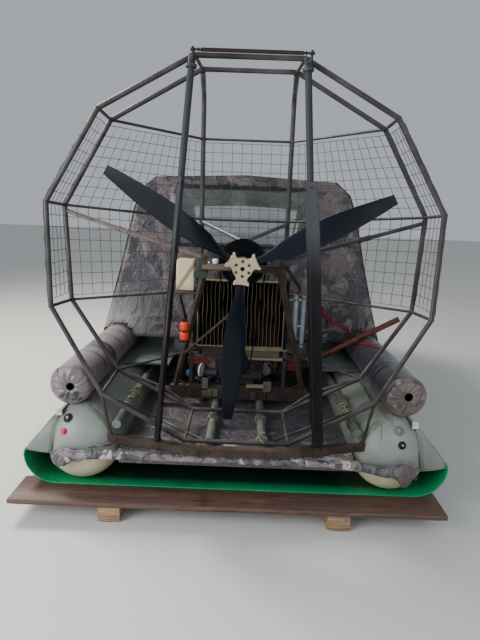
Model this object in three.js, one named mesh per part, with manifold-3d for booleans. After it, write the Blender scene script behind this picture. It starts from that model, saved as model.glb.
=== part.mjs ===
// Inflatable airboat on its stands: stern at -Y, bow at +Y, starboard at +X, Z up, millimetres.
// Rear cage ring stands in the plane y = 0; the ground is z = 0.
import * as THREE from "three";
import { mergeVertices } from "three/addons/utils/BufferGeometryUtils.js";
import Module from "manifold-3d";

const wasm = await Module();
wasm.setup();

// Driving sizes; GAP is the air between two pieces that touch
const GAP = 0.3;
const GROUND_TO_CAGE = 1380;
const RING_TUBE = 13;
const FRONT_RING_Y = 300;
const BAR_Y = 840;
const BAR_X = 290;
const BAR_TUBE = 16;
const HUB_Z = 1340;
const PROP_Y = 130;
const BLADE_TIP = 890;
const PLANK_TOP = 128;
const LOWER_X = 862;
const LOWER_Z = 346;
const LOWER_R = 215;
const UPPER_X = 930;
const UPPER_Z = 670;
const UPPER_R = 117;
const UPPER_LIFT = 16;
const STRAIGHT_END = 3800;
const TUBE_SEAM = 3790;
const BOW_REACH = 1180;
const BOW_RISE = 290;
const FLOOR_TOP = 352;
const RAIL_R = 26;
const RAIL_Z = FLOOR_TOP + RAIL_R + GAP;
const RAIL_TOP = RAIL_Z + RAIL_R;
const BEAM_TOP = RAIL_TOP + 60;
const BAR_FOOT = RAIL_TOP + 45 + GAP;
const SHAFT_R = 20;
const BEARING_R = 20.9;

// Solid from a geometry
function solid(geometry) {
  const plain = geometry.index ? geometry.toNonIndexed() : geometry.clone();
  plain.deleteAttribute("normal");
  plain.deleteAttribute("uv");
  const merged = mergeVertices(plain, 1e-3);
  const vertProperties = new Float32Array(merged.attributes.position.array);
  const triVerts = new Uint32Array(merged.index.array);
  return new wasm.Manifold(new wasm.Mesh({ numProp: 3, vertProperties, triVerts }));
}

// Union of a list
function join(list) {
  let all = list[0];
  for (let i = 1; i < list.length; i++) all = all.add(list[i]);
  return all;
}

function box(x0, x1, y0, y1, z0, z1) {
  const g = new THREE.BoxGeometry(x1 - x0, y1 - y0, z1 - z0);
  g.translate((x0 + x1) / 2, (y0 + y1) / 2, (z0 + z1) / 2);
  return solid(g);
}

// Round bar between two points
function rod(a, b, r, sides = 8, r2 = r) {
  const p = new THREE.Vector3(...a);
  const q = new THREE.Vector3(...b);
  const d = q.clone().sub(p);
  const g = new THREE.CylinderGeometry(r2, r, d.length(), sides);
  g.applyQuaternion(new THREE.Quaternion().setFromUnitVectors(new THREE.Vector3(0, 1, 0), d.clone().normalize()));
  g.translate((p.x + q.x) / 2, (p.y + q.y) / 2, (p.z + q.z) / 2);
  return solid(g);
}

// Square bar between two points, its flats kept upright
function squareBar(a, b, w, h) {
  const p = new THREE.Vector3(...a);
  const q = new THREE.Vector3(...b);
  const d = q.clone().sub(p);
  const g = new THREE.BoxGeometry(w, h, d.length());
  const m = new THREE.Matrix4().lookAt(q, p, new THREE.Vector3(0, 0.001, 1));
  g.applyMatrix4(m);
  g.translate((p.x + q.x) / 2, (p.y + q.y) / 2, (p.z + q.z) / 2);
  return solid(g);
}

// Closed solid through a list of equal rings of points, with flat ends
function loft(rings, closed = false, sheet = false) {
  const n = rings[0].length;
  const count = rings.length;
  const position = [];
  for (const ring of rings) for (const p of ring) position.push(p[0], p[1], p[2]);
  const index = [];
  const last = closed ? count : count - 1;
  for (let i = 0; i < last; i++) {
    const a = i * n;
    const b = ((i + 1) % count) * n;
    for (let k = 0; k < n; k++) {
      const l = (k + 1) % n;
      index.push(a + k, a + l, b + l, a + k, b + l, b + k);
    }
  }
  if (!closed) {
    const flat = (base, flip) => {
      const pts = [];
      for (let k = 0; k < n; k++) pts.push(new THREE.Vector3(...rings[base][k]));
      const faces = sheet ? sheetFaces(n) : capFaces(pts);
      for (const f of faces) {
        const t = flip ? [f[0], f[1], f[2]] : [f[0], f[2], f[1]];
        index.push(base * n + t[0], base * n + t[1], base * n + t[2]);
      }
    };
    flat(0, false);
    flat(count - 1, true);
  }
  const g = new THREE.BufferGeometry();
  g.setAttribute("position", new THREE.Float32BufferAttribute(position, 3));
  g.setIndex(index);
  let s = solid(g);
  if (s.volume() < 0) {
    for (let i = 0; i < index.length; i += 3) {
      const t = index[i + 1];
      index[i + 1] = index[i + 2];
      index[i + 2] = t;
    }
    g.setIndex(index);
    s = solid(g);
  }
  return s;
}

// Faces that close the end of a thin sheet, its outer points followed by its inner points back again
function sheetFaces(n) {
  const out = [];
  for (let i = 0; i < n / 2 - 1; i++) {
    out.push([i, i + 1, n - 2 - i], [i, n - 2 - i, n - 1 - i]);
  }
  return out;
}

// Faces that close one flat ring of points
function capFaces(pts) {
  const c = new THREE.Vector3();
  for (const p of pts) c.add(p);
  c.multiplyScalar(1 / pts.length);
  const normal = new THREE.Vector3();
  for (let i = 0; i < pts.length; i++) {
    const a = pts[i].clone().sub(c);
    const b = pts[(i + 1) % pts.length].clone().sub(c);
    normal.add(a.cross(b));
  }
  normal.normalize();
  const helper = Math.abs(normal.x) < 0.9 ? new THREE.Vector3(1, 0, 0) : new THREE.Vector3(0, 1, 0);
  const u = helper.clone().cross(normal).normalize();
  const v = normal.clone().cross(u);
  const flat = pts.map((p) => new THREE.Vector2(p.clone().sub(c).dot(u), p.clone().sub(c).dot(v)));
  return THREE.ShapeUtils.triangulateShape(flat, []);
}

// Round tube along a line of points, mitred at each bend
function tube(points, r, sides = 8, closed = false, radii = null) {
  const pts = points.map((p) => new THREE.Vector3(...p));
  const n = pts.length;
  const dir = (i, j) => pts[j].clone().sub(pts[i]).normalize();
  const tangents = pts.map((_, i) => {
    const prev = i > 0 ? i - 1 : closed ? n - 1 : null;
    const next = i < n - 1 ? i + 1 : closed ? 0 : null;
    if (prev === null) return dir(i, next);
    if (next === null) return dir(prev, i);
    return dir(prev, i).add(dir(i, next)).normalize();
  });
  const first = closed ? dir(n - 1, 0) : dir(0, 1);
  const helper = Math.abs(first.z) < 0.9 ? new THREE.Vector3(0, 0, 1) : new THREE.Vector3(0, 1, 0);
  let u = helper.clone().cross(first).normalize();
  const rings = [];
  for (let i = 0; i < n; i++) {
    const along = i > 0 ? dir(i - 1, i) : first;
    u = u.clone().sub(along.clone().multiplyScalar(u.dot(along))).normalize();
    const v = along.clone().cross(u);
    const size = radii ? radii[i] : r;
    const ring = [];
    for (let k = 0; k < sides; k++) {
      const t = ((k + 0.5) / sides) * 2 * Math.PI;
      const o = u.clone().multiplyScalar(Math.cos(t) * size).add(v.clone().multiplyScalar(Math.sin(t) * size));
      const slide = -o.dot(tangents[i]) / along.dot(tangents[i]);
      o.add(along.clone().multiplyScalar(slide));
      ring.push(pts[i].clone().add(o).toArray());
    }
    rings.push(ring);
  }
  return loft(rings, closed);
}

// Turned body about the Y axis: profile of [radius, y] pairs
function turnedY(profile, x, z, sides = 24) {
  const g = new THREE.LatheGeometry(profile.map((p) => new THREE.Vector2(p[0], p[1])), sides);
  g.translate(x, 0, z);
  const s = solid(g);
  if (s.volume() > 0) return s;
  const h = new THREE.LatheGeometry([...profile].reverse().map((p) => new THREE.Vector2(p[0], p[1])), sides);
  h.translate(x, 0, z);
  return solid(h);
}

// Flat plate cut from an outline in the x-z plane, between two y values
function plateY(outline, y0, y1) {
  const s = new THREE.Shape(outline.map((p) => new THREE.Vector2(p[0], p[1])));
  const g = new THREE.ExtrudeGeometry(s, { depth: y1 - y0, bevelEnabled: false });
  g.rotateX(Math.PI / 2);
  g.translate(0, y1, 0);
  return solid(g);
}

function mirror(s) {
  return s.mirror([1, 0, 0]);
}

const root = new THREE.Group();
root.name = "airboat";

function put(name, body, colour, roughness, metalness) {
  const m = body.getMesh();
  const g = new THREE.BufferGeometry();
  const count = m.numVert;
  const v = new Float32Array(count * 3);
  for (let i = 0; i < count; i++) {
    v[3 * i] = m.vertProperties[i * m.numProp];
    v[3 * i + 1] = m.vertProperties[i * m.numProp + 1];
    v[3 * i + 2] = m.vertProperties[i * m.numProp + 2];
  }
  g.setAttribute("position", new THREE.BufferAttribute(v, 3));
  g.setIndex(new THREE.BufferAttribute(new Uint32Array(m.triVerts), 1));
  const material = new THREE.MeshStandardMaterial({ color: colour, roughness, metalness });
  const mesh = new THREE.Mesh(g, material);
  mesh.name = name;
  root.add(mesh);
}

// Colours from the picture
const STEEL_DARK = 0x2a2526;
const STEEL_BROWN = 0x4a3a36;
const PVC_GREY = 0x8c969a;
const CAMO = 0x6a6262;
const GREEN = 0x0a8a50;
const ALU = 0xc9c2b8;

// Cage rings: half outlines from the top to the bottom, as [x, height over the cage centre]
const REAR_HALF = [[262, 973], [728, 724], [1003, 275], [1003, -262], [748, -742], [290, -1000]];
const FRONT_HALF = [[252, 994], [747, 724], [1018, 264], [1000, -278], [735, -700], [276, -938]];

function ringPoints(half, y) {
  const right = half.map(([x, h]) => [x, y, GROUND_TO_CAGE + h]);
  const left = [...half].reverse().map(([x, h]) => [-x, y, GROUND_TO_CAGE + h]);
  return [...right, ...left];
}

const rear = ringPoints(REAR_HALF, 0);
const front = ringPoints(FRONT_HALF, FRONT_RING_Y);

// Leaning rudder posts: their line from the foot on the stern beam to the top of the cage
const POST_TOP = [267.7, -52.4, GROUND_TO_CAGE + 960];
const POST_LOW = [428, -78, GROUND_TO_CAGE - 962];
const POST_R = 17;
const postAt = (h, s = 1) => {
  const t = (h - POST_LOW[2]) / (POST_TOP[2] - POST_LOW[2]);
  const x = POST_LOW[0] + (POST_TOP[0] - POST_LOW[0]) * t;
  return [s * x, POST_LOW[1] + (POST_TOP[1] - POST_LOW[1]) * t, h];
};

// Rear ring with an eye behind each top corner that holds a rudder post
const EYE_Z = GROUND_TO_CAGE + 910;
const rearParts = [tube(rear, RING_TUBE, 8, true)];
for (const s of [-1, 1]) {
  const [ex, ey] = postAt(EYE_Z, s);
  rearParts.push(rod(postAt(EYE_Z - 8, s), postAt(EYE_Z + 8, s), 27, 16));
  rearParts.push(squareBar([ex, ey + 16, EYE_Z], [s * 262, -2, GROUND_TO_CAGE + 967], 16, 14));
}
const postBores = join([-1, 1].map((s) => rod(postAt(EYE_Z - 60, s), postAt(EYE_Z + 60, s), POST_R + 0.9, 24)));
put("cage_rear_ring", join(rearParts).subtract(postBores), STEEL_DARK, 0.55, 0.6);

// Front ring with the cross tubes
const frontParts = [tube(front, RING_TUBE, 8, true)];
rear.forEach((p, i) => {
  frontParts.push(rod(p, front[i], 9, 6));
});
const rearCut = tube(rear, RING_TUBE + GAP, 8, true);
put("cage_front_ring", join(frontParts).subtract(rearCut), STEEL_DARK, 0.55, 0.6);

// Truss under the propeller, between the two rings
const TRUSS = [
  [[735, 300, -700], [455, 300, -800]],
  [[455, 300, -800], [276, 300, -932]],
  [[455, 300, -800], [455, 180, -962]],
  [[748, 0, -742], [455, 180, -962]],
  [[455, 180, -962], [180, 0, -996]],
];
const frontCut = tube(front, RING_TUBE + GAP, 8, true);
for (const [side, s] of [["port", -1], ["starboard", 1]]) {
  const at = ([x, y, h]) => [s * x, y, GROUND_TO_CAGE + h];
  const rods = TRUSS.map(([a, b]) => rod(at(a), at(b), 8, 6));
  const crossCut = rear.map((p, i) => rod(p, front[i], 9 + GAP, 6));
  put("lower_truss_" + side, join(rods).subtract(rearCut).subtract(frontCut).subtract(join(crossCut)), STEEL_DARK, 0.55, 0.6);
}

// Basket in front of the engine: two bars that leave the top corners, run forward and drop to the deck
const C = GROUND_TO_CAGE;
const basket = [];
const barCuts = [];
for (const s of [-1, 1]) {
  const line = [
    [s * 252, FRONT_RING_Y, C + 994],
    [s * 268, 520, C + 1000],
    [s * 286, 760, C + 992],
    [s * BAR_X, 822, C + 968],
    [s * BAR_X, BAR_Y, C + 900],
    [s * BAR_X, BAR_Y, BAR_FOOT],
  ];
  basket.push(tube(line, BAR_TUBE, 8));
  barCuts.push(tube(line, BAR_TUBE + GAP, 8));
  // side rods, as [ring x, ring height, bar height]
  const rods = [[747, 724, 720], [1018, 264, 207], [1000, -278, -280], [735, -700, -700]];
  for (const [x, h, hb] of rods) {
    basket.push(rod([s * x, FRONT_RING_Y, C + h], [s * BAR_X, BAR_Y, C + hb], 8, 6));
  }
}
for (const h of [720, 207, -280]) {
  basket.push(rod([-BAR_X, BAR_Y, C + h], [BAR_X, BAR_Y, C + h], 8, 6));
}
put("cage_basket", join(basket).subtract(frontCut), STEEL_DARK, 0.55, 0.6);


// Net of wires over a grid of points: one wire along each row and one along each column
function net(grid, r) {
  const wires = grid.map((row) => tube(row, r, 4));
  for (let j = 0; j < grid[0].length; j++) wires.push(tube(grid.map((row) => row[j]), r * 0.98, 4));
  return join(wires);
}

function mix(a, b, t) {
  return [a[0] + (b[0] - a[0]) * t, a[1] + (b[1] - a[1]) * t, a[2] + (b[2] - a[2]) * t];
}

// Points spread along a line of corners, n per stretch
function spread(corners, counts) {
  const out = [];
  corners.slice(0, -1).forEach((p, i) => {
    for (let k = 0; k < counts[i]; k++) out.push(mix(p, corners[i + 1], k / counts[i]));
  });
  out.push(corners[corners.length - 1]);
  return out;
}

// Nets over the side bands between the rings and over the basket, from the upper to the lower side rods
const NET_R = 2.2;
const OFF = RING_TUBE * Math.cos(Math.PI / 8) + NET_R + GAP + 0.2;
const offLine = (list) => list.map(([x, h], i) => {
  const a = list[Math.max(0, i - 1)];
  const b = list[Math.min(list.length - 1, i + 1)];
  const across = (p, q) => {
    const d = Math.hypot(q[0] - p[0], q[1] - p[1]);
    return [-(q[1] - p[1]) / d, (q[0] - p[0]) / d];
  };
  const n1 = i === 0 ? across([x, h], b) : across(a, [x, h]);
  const n2 = i === list.length - 1 ? n1 : across([x, h], b);
  const m = Math.hypot(n1[0] + n2[0], n1[1] + n2[1]);
  const n = [(n1[0] + n2[0]) / m, (n1[1] + n2[1]) / m];
  const k = OFF / (n[0] * n1[0] + n[1] * n1[1]);
  return [x + n[0] * k, h + n[1] * k];
});
for (const [side, s] of [["port", -1], ["starboard", 1]]) {
  const line = (list, y, counts) => spread(list.map(([x, h]) => [s * x, y, C + h]), counts);
  const rearLine = line(offLine([[746, 695], [1003, 275], [1003, -235]]), 0, [3, 3]);
  const frontLine = line(offLine([[764, 695], [1018, 264], [1001, -235]]), FRONT_RING_Y, [3, 3]);
  const grid = [0, 0.5, 1].map((t) => rearLine.map((p, i) => mix(p, frontLine[i], t)));
  put("band_net_" + side, net(grid, NET_R), STEEL_DARK, 0.5, 0.6);
  const ringY = FRONT_RING_Y + OFF;
  const barX = BAR_X + 12.3;
  const barY = BAR_Y + 12.3;
  const ringLine = spread([[s * 763, ringY, C + 697], [s * 1018, ringY, C + 264], [s * 1001, ringY, C - 255]], [3, 3]);
  const barLine = spread([[s * barX, barY, C + 700], [s * barX, barY, C + 225], [s * barX, barY, C - 255]], [3, 3]);
  const grid2 = [0, 0.25, 0.5, 0.75, 1].map((t) => ringLine.map((p, i) => mix(p, barLine[i], t)));
  put("basket_net_" + side, net(grid2, NET_R), STEEL_DARK, 0.5, 0.6);
}
const midY = BAR_Y + BAR_TUBE * Math.cos(Math.PI / 8) + NET_R + GAP;
const portCol = spread([[-BAR_X, midY, C + 700], [-BAR_X, midY, C + 222], [-BAR_X, midY, C - 265]], [3, 3]);
const starCol = portCol.map(([x, y, z]) => [-x, y, z]);
const midGrid = [0, 0.333, 0.667, 1].map((t) => portCol.map((p, i) => mix(p, starCol[i], t)));
put("basket_net_middle", net(midGrid, NET_R), STEEL_DARK, 0.5, 0.6);

// Bent angle bar across the stern
// stations as [x, y, z, depth of the upper flange]
const beamLine = [
  [-705, -48, C - 955, 16],
  [-410, -105, C - 968, 44],
  [-200, -140, C - 976, 44],
  [200, -140, C - 976, 44],
  [410, -105, C - 968, 44],
  [705, -48, C - 955, 16],
];
function angleRun(line, down, t) {
  const rings = line.map(([x, y, z, back]) => [
    [x, y, z],
    [x, y + back, z],
    [x, y + back, z - t],
    [x, y + t, z - t],
    [x, y + t, z - down],
    [x, y, z - down],
  ]);
  return loft(rings);
}
const PIN_R = 6;
const POST_FOOT = C - 962;
const beamParts = [angleRun(beamLine, 46, 5)];
for (const s of [-1, 1]) {
  beamParts.push(rod([s * 748, 0, C - 742], [s * 690, -38, C - 958], 8, 6));
}
const pinHoles = join([-1, 1].map((s) => rod(postAt(C - 1020, s), postAt(C - 930, s), PIN_R + 0.9, 16)));
put("stern_beam", join(beamParts).subtract(rearCut).subtract(pinHoles), STEEL_BROWN, 0.6, 0.5);

const BIG = 9000;

// Inflated hull: path of one side, from the stern to the middle of the bow
function hullPath(x0, z0, yStart, steps, lift) {
  const pts = [[x0, yStart, z0]];
  pts.push([x0, STRAIGHT_END * 0.5, z0]);
  for (let i = 0; i <= steps; i++) {
    const t = (i / steps) * (Math.PI / 2);
    const x = x0 * Math.cos(t);
    const y = STRAIGHT_END + (BOW_REACH + (x0 - LOWER_X)) * Math.sin(t);
    const z = z0 + BOW_RISE * Math.sin(t) ** 2 + lift * Math.sin(2 * t) ** 2;
    pts.push([x, y, z]);
  }
  return pts;
}

// Stations of a tube with a domed stern, and the radius at each
function domed(path, r, dome, rBow) {
  const [x, y, z] = path[0];
  const back = [0.93, 0.75, 0.45, 0.12];
  const pts = [...back.map((k) => [x, y - dome * k, z]), ...path];
  const radii = pts.map((p, i) => {
    const j = i - back.length;
    if (j < 0) return r * Math.sqrt(1 - back[i] ** 2);
    return j > 1 ? r + (rBow - r) * ((j - 1) / (path.length - 2)) ** 2 : r;
  });
  return { pts, radii };
}

// Whole horseshoe of one tube, its port half the mirror of the other
function horseshoe(x0, z0, yStart, r, rBow, dome, sides, lift = 0) {
  const { pts, radii } = domed(hullPath(x0, z0, yStart, 12, lift), r, dome, rBow);
  const [x, y, z] = pts[pts.length - 2];
  const past = tube([...pts, [-x, y, z]], r, sides, false, [...radii, radii[radii.length - 2]]);
  const half = past.subtract(box(-BIG, 0, -BIG, BIG, -BIG, BIG));
  return join([half, mirror(half)]);
}
function putHorseshoe(name, whole, ySeam, colour, roughness) {
  const side = whole.subtract(box(-BIG, BIG, ySeam, BIG, -BIG, BIG));
  put(name + "_starboard", side.subtract(box(-BIG, 0, -BIG, BIG, -BIG, BIG)), colour, roughness, 0);
  put(name + "_port", side.subtract(box(0, BIG, -BIG, BIG, -BIG, BIG)), colour, roughness, 0);
  put(name + "_bow", whole.subtract(box(-BIG, BIG, -BIG, ySeam + GAP, -BIG, BIG)), colour, roughness, 0);
}
putHorseshoe("lower_tube", horseshoe(LOWER_X, LOWER_Z, 60, LOWER_R, 190, 160, 20), TUBE_SEAM, PVC_GREY, 0.6);
putHorseshoe("upper_tube", horseshoe(UPPER_X, UPPER_Z, 20, UPPER_R, 105, 40, 16, UPPER_LIFT), TUBE_SEAM, CAMO, 0.8);

// Sliding bottom: a thin skin that curls up at both chines and rises to the bow, as half outlines
const SKIN = 5;
const CHINE = [[0, 0], [560, 0], [985, 0], [1050, 10], [1108, 42], [1150, 100], [1163, 160], [1150, 206]];
function skinRing(y, width, lift, curl) {
  const outer = CHINE.map(([x, z]) => [x * width, PLANK_TOP + GAP + lift + z * curl]);
  const half = [];
  for (let i = 0; i < outer.length; i++) {
    const a = outer[Math.max(0, i - 1)];
    const b = outer[Math.min(outer.length - 1, i + 1)];
    const d = Math.hypot(b[0] - a[0], b[1] - a[1]);
    half.push([outer[i][0] - ((b[1] - a[1]) / d) * SKIN, outer[i][1] + ((b[0] - a[0]) / d) * SKIN]);
  }
  half[0][0] = 0;
  const both = (list) => [...[...list].reverse().map(([x, z]) => [-x, y, z]), ...list.slice(1).map(([x, z]) => [x, y, z])];
  return [...both(outer), ...both(half).reverse()];
}
const SKIN_ROWS = [[-70, 1, 0, 1], [1900, 1, 0, 1], [3800, 1, 0, 1], [3975, 0.99, 3, 0.9], [4150, 0.955, 14, 0.7], [4450, 0.84, 58, 0.35], [4700, 0.65, 116, 0.12], [4850, 0.46, 158, 0.04]];
put("bottom_skin", loft(SKIN_ROWS.map((q) => skinRing(...q)), false, true), GREEN, 0.35, 0);

// Side flap from the hull seam down to the chine, as [x, z] of its outer face
const flapAt = (degrees) => [
  LOWER_X + Math.cos((degrees * Math.PI) / 180) * (LOWER_R + 4.7),
  LOWER_Z + Math.sin((degrees * Math.PI) / 180) * (LOWER_R + 4.7),
];
const FLAP = [flapAt(63), flapAt(45), [1152, PLANK_TOP + 209.5]];
function flapRing(y, s) {
  const out = FLAP.map(([x, z]) => [s * x, y, z]);
  const inner = FLAP.map(([x, z], i) => {
    const a = FLAP[Math.max(0, i - 1)];
    const b = FLAP[Math.min(FLAP.length - 1, i + 1)];
    const d = Math.hypot(b[0] - a[0], b[1] - a[1]);
    return [s * (x + ((b[1] - a[1]) / d) * 4), y, z - ((b[0] - a[0]) / d) * 4];
  });
  return [...out, ...inner.reverse()];
}
for (const [side, s] of [["port", -1], ["starboard", 1]]) {
  put("side_flap_" + side, loft([flapRing(-20, s), flapRing(1900, s), flapRing(3780, s)], false, true), PVC_GREY, 0.65, 0);
}

const OUTER_RAIL_X = 661;
const OUTER_RAIL_Z = 475.6;
// Inflated floor between the side tubes, its cover hanging over the stern
const FLOOR_HALF = LOWER_X - LOWER_R * Math.cos(Math.PI / 20) - GAP;
put("floor", box(-FLOOR_HALF, FLOOR_HALF, -60, 3800, FLOOR_TOP - 90, FLOOR_TOP), CAMO, 0.85, 0);
const hemLine = [
  [-1010, -94, 300],
  [-940, -120, 318],
  [-862, -131, 338],
  [-770, -134, 346],
  [-640, -132, 345],
  [-300, -112, 331],
  [0, -110, 328],
  [500, -116, 330],
  [640, -132, 336],
  [760, -146, 322],
  [862, -136, 304],
  [945, -118, 298],
];
const hemFold = [-630, -300, 0, 500, 630].map((x) => {
  const i = hemLine.findIndex((q) => q[0] > x);
  const [, y, z] = mix(hemLine[i - 1], hemLine[i], (x - hemLine[i - 1][0]) / (hemLine[i][0] - hemLine[i - 1][0]));
  return [[x, -60 - GAP, 350], [x, -60 - GAP, 334], [x, y + 14, z - 4], [x, y - 14, z + 12]];
});
put("stern_hem", join([tube(hemLine, 26, 10), loft(hemFold)]), CAMO, 0.85, 0);

// Four rails: two on the floor and two on the shoulders of the tubes, as [name, x, z, y at the stern, y forward]
const RAILS = [
  ["outer_port", -OUTER_RAIL_X, OUTER_RAIL_Z, -30, 1150],
  ["inner_port", -150, RAIL_Z, 0, 1150],
  ["inner_starboard", 146, RAIL_Z, 0, 1150],
  ["outer_starboard", OUTER_RAIL_X, OUTER_RAIL_Z, -30, 1150],
];
for (const [name, x, z, ya, yb] of RAILS) {
  put("rail_" + name, rod([x, ya, z], [x, yb, z], RAIL_R, 12).subtract(rearCut), PVC_GREY, 0.6, 0.2);
}

// Engine cradle: two cross tubes on the inner rails and two long tubes over them
const cradle = [
  box(-560, 470, 580, 640, RAIL_TOP + GAP, BEAM_TOP),
  box(-560, 470, 1010, 1060, RAIL_TOP + GAP, RAIL_TOP + 50),
  box(-310, -270, 600, 1040, RAIL_TOP + 5, RAIL_TOP + 45),
  box(270, 310, 600, 1040, RAIL_TOP + 5, RAIL_TOP + 45),
];
put("engine_cradle", join(cradle), STEEL_BROWN, 0.6, 0.5);

// Stand that carries the propeller shaft: a crossbar on two legs that lean forward, and the bearing sleeve
const STAND_Y = 330;
const RADIATOR_FOOT = C - 612;
const TANK_FOOT = C - 223;
const FOOT = [430, 604, BEAM_TOP + GAP];
const CROSSBAR = [236, 309, 351, C - 83, C - 41];
const standParts = [
  box(-CROSSBAR[0], CROSSBAR[0], ...CROSSBAR.slice(1)),
  squareBar([-215, STAND_Y, C - 60], [-FOOT[0], FOOT[1], FOOT[2] + 12], 30, 30),
  squareBar([215, STAND_Y, C - 60], [FOOT[0], FOOT[1], FOOT[2] + 12], 30, 30),
  box(-462, 462, 586, 630, FOOT[2], FOOT[2] + 24),
  // brackets of the outer struts, and the stay from the port leg to a hanger under the crossbar
  box(-240, -212, 312, 348, C - 42, C + 14),
  box(212, 240, 312, 348, C - 42, C + 14),
  box(-20, 20, 318, 344, 1062, HUB_Z - 61),
  squareBar([-357, 498, 742], [-8, 324, 1096], 20, 14),
  rod([0, 232, HUB_Z], [0, 374, HUB_Z], 46, 16),
  box(-34, 34, 312, 348, HUB_Z - 62, HUB_Z),
  // radiator frame on the foot bar, and the shelf of the expansion tank on the port leg
  box(-336, -312, 588, 612, FOOT[2] + 20, RADIATOR_FOOT - GAP),
  box(312, 336, 588, 612, FOOT[2] + 20, RADIATOR_FOOT - GAP),
  box(-336, 336, 588, 612, RADIATOR_FOOT - 20, RADIATOR_FOOT - GAP),
  box(-336, 336, 588, 612, RADIATOR_FOOT - 113, RADIATOR_FOOT - 93),
  box(-408, -240, 372, 528, TANK_FOOT - 8, TANK_FOOT - GAP),
];
const sleeveBore = rod([0, 200, HUB_Z], [0, 400, HUB_Z], BEARING_R, 32);
put("prop_stand", join(standParts).subtract(sleeveBore), STEEL_BROWN, 0.6, 0.5);

// Struts from the cage to the stand, and the front bearing on two struts from the basket's bars
const bracketCut = box(-240 - GAP, 240 + GAP, 312 - GAP, 348 + GAP, C - 42, C + 14 + GAP);
const crossbarCut = box(-CROSSBAR[0] - GAP, CROSSBAR[0] + GAP, 309 - GAP, 351 + GAP, C - 83 - GAP, C - 41 + GAP).add(bracketCut);
for (const [side, s] of [["port", -1], ["starboard", 1]]) {
  const strut = rod([s * 1016, 300, C + 236], [s * 226, 331, C - 4], 12, 8);
  const legCut = squareBar([s * 214.8, STAND_Y - 0.3, C - 59.3], [s * FOOT[0], FOOT[1], FOOT[2] + 12], 30.7, 30.7);
  put("strut_outer_" + side, strut.subtract(frontCut).subtract(crossbarCut).subtract(legCut), 0x9a948c, 0.5, 0.4);
}
const frontBearing = [
  rod([0, 446, HUB_Z], [0, 490, HUB_Z], 44, 16),
  box(-50, 50, 450, 486, HUB_Z + 30, HUB_Z + 42),
  box(-24, 24, 458, 478, HUB_Z + 34, 1486),
  rod([-290, 840, C + 193], [-18, 468, 1472], 12, 8),
  rod([290, 840, C + 193], [18, 468, 1472], 12, 8),
];
const bearingBore = rod([0, 400, HUB_Z], [0, 520, HUB_Z], BEARING_R, 32);
put("front_bearing", join(frontBearing).subtract(bearingBore).subtract(join(barCuts)), STEEL_BROWN, 0.5, 0.6);

// Radiator: core between two side tanks
put("radiator", join([box(-286, 280, 566, 600, C - 602, C - 170), box(-312, -280, 560, 606, C - 612, C - 160), box(275, 305, 560, 606, C - 612, C - 160)]), 0x4a4038, 0.5, 0.6);
put("expansion_tank", box(-405, -290, 430, 530, C - 223, C - 28), 0xdccdaf, 0.5, 0);

// Engine behind the radiator: crankcase, sump and bell housing, then its cover
const block = join([
  box(-165, 165, 660, 990, 520, 800),
  box(-130, 130, 670, 980, 795, 960),
  rod([0, 622, 715], [0, 665, 715], 150, 20),
  box(-105, 105, 690, 960, 470, 525),
  box(-306, 306, 720, 756, BAR_FOOT, 478),
  box(-306, 306, 900, 936, BAR_FOOT, 478),
]);
put("engine_block", block, 0x3a3c40, 0.5, 0.7);
put("engine_cover", box(-100, 100, 690, 960, 960 + GAP, 1040), 0x8a2a26, 0.5, 0.1);
const pipe = tube([[150, 759, 651], [430, 770, 640], [600, 850, 662], [1130, 900, 935]], 21, 12);
put("exhaust", pipe.subtract(box(0, 165 + GAP, 600, 900, 500, 800)), 0x5c2f28, 0.5, 0.6);
const coolant = [
  rod([354, 600, C - 607], [354, 600, C - 242], 17, 10),
  rod([404, 600, C - 600], [404, 600, C - 254], 15, 10),
  rod([305 + GAP, 590, C - 282], [404, 600, C - 282], 9, 8),
  rod([305 + GAP, 590, C - 456], [404, 600, C - 456], 9, 8),
];
put("coolant_pipes", join(coolant).subtract(box(200, 305 + GAP, 500, 700, 700, 1300)), 0x6a808e, 0.45, 0.3);

// Drive: upper and lower pulley with a toothed belt round both
const LOW_Z = 715;
const UP_R = 137;
const LOW_R = 62;
function beltOutline(rUp, rLow, grow) {
  const out = [];
  const d = HUB_Z - LOW_Z;
  const a = Math.asin((rUp - rLow) / d);
  for (let i = 0; i <= 20; i++) {
    const t = -a + (i / 20) * (Math.PI + 2 * a);
    out.push([Math.cos(t) * (rUp + grow), HUB_Z + Math.sin(t) * (rUp + grow)]);
  }
  for (let i = 0; i <= 12; i++) {
    const t = Math.PI + a + (i / 12) * (Math.PI - 2 * a);
    out.push([Math.cos(t) * (rLow + grow), LOW_Z + Math.sin(t) * (rLow + grow)]);
  }
  return out;
}
const belt = plateY(beltOutline(UP_R, LOW_R, 9), 392, 416).subtract(plateY(beltOutline(UP_R, LOW_R, 1), 380, 430));
put("drive_belt", belt, 0x1c1c1e, 0.8, 0);
put("drive_pulley_upper", turnedY([[0, 388], [UP_R, 388], [UP_R, 422], [SHAFT_R, 422], [SHAFT_R, 484], [0, 484]], 0, HUB_Z, 32), 0x23262a, 0.5, 0.5);
put("drive_pulley_lower", turnedY([[0, 388], [LOW_R, 388], [LOW_R, 422], [26, 422], [26, 622 - GAP], [0, 622 - GAP]], 0, LOW_Z, 24), 0x8a8c90, 0.4, 0.8);

// Propeller: shaft and hub, three blades held in the hub
const hub = join([
  turnedY([[0, 92], [58, 92], [62, 98], [62, 172], [40, 176], [40, 222], [SHAFT_R, 222], [SHAFT_R, 388 - GAP], [0, 388 - GAP]], 0, HUB_Z, 24),
]);
const BLADE_ANGLES = [["a", 26.4], ["b", 146.4], ["c", 266.4]];
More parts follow.
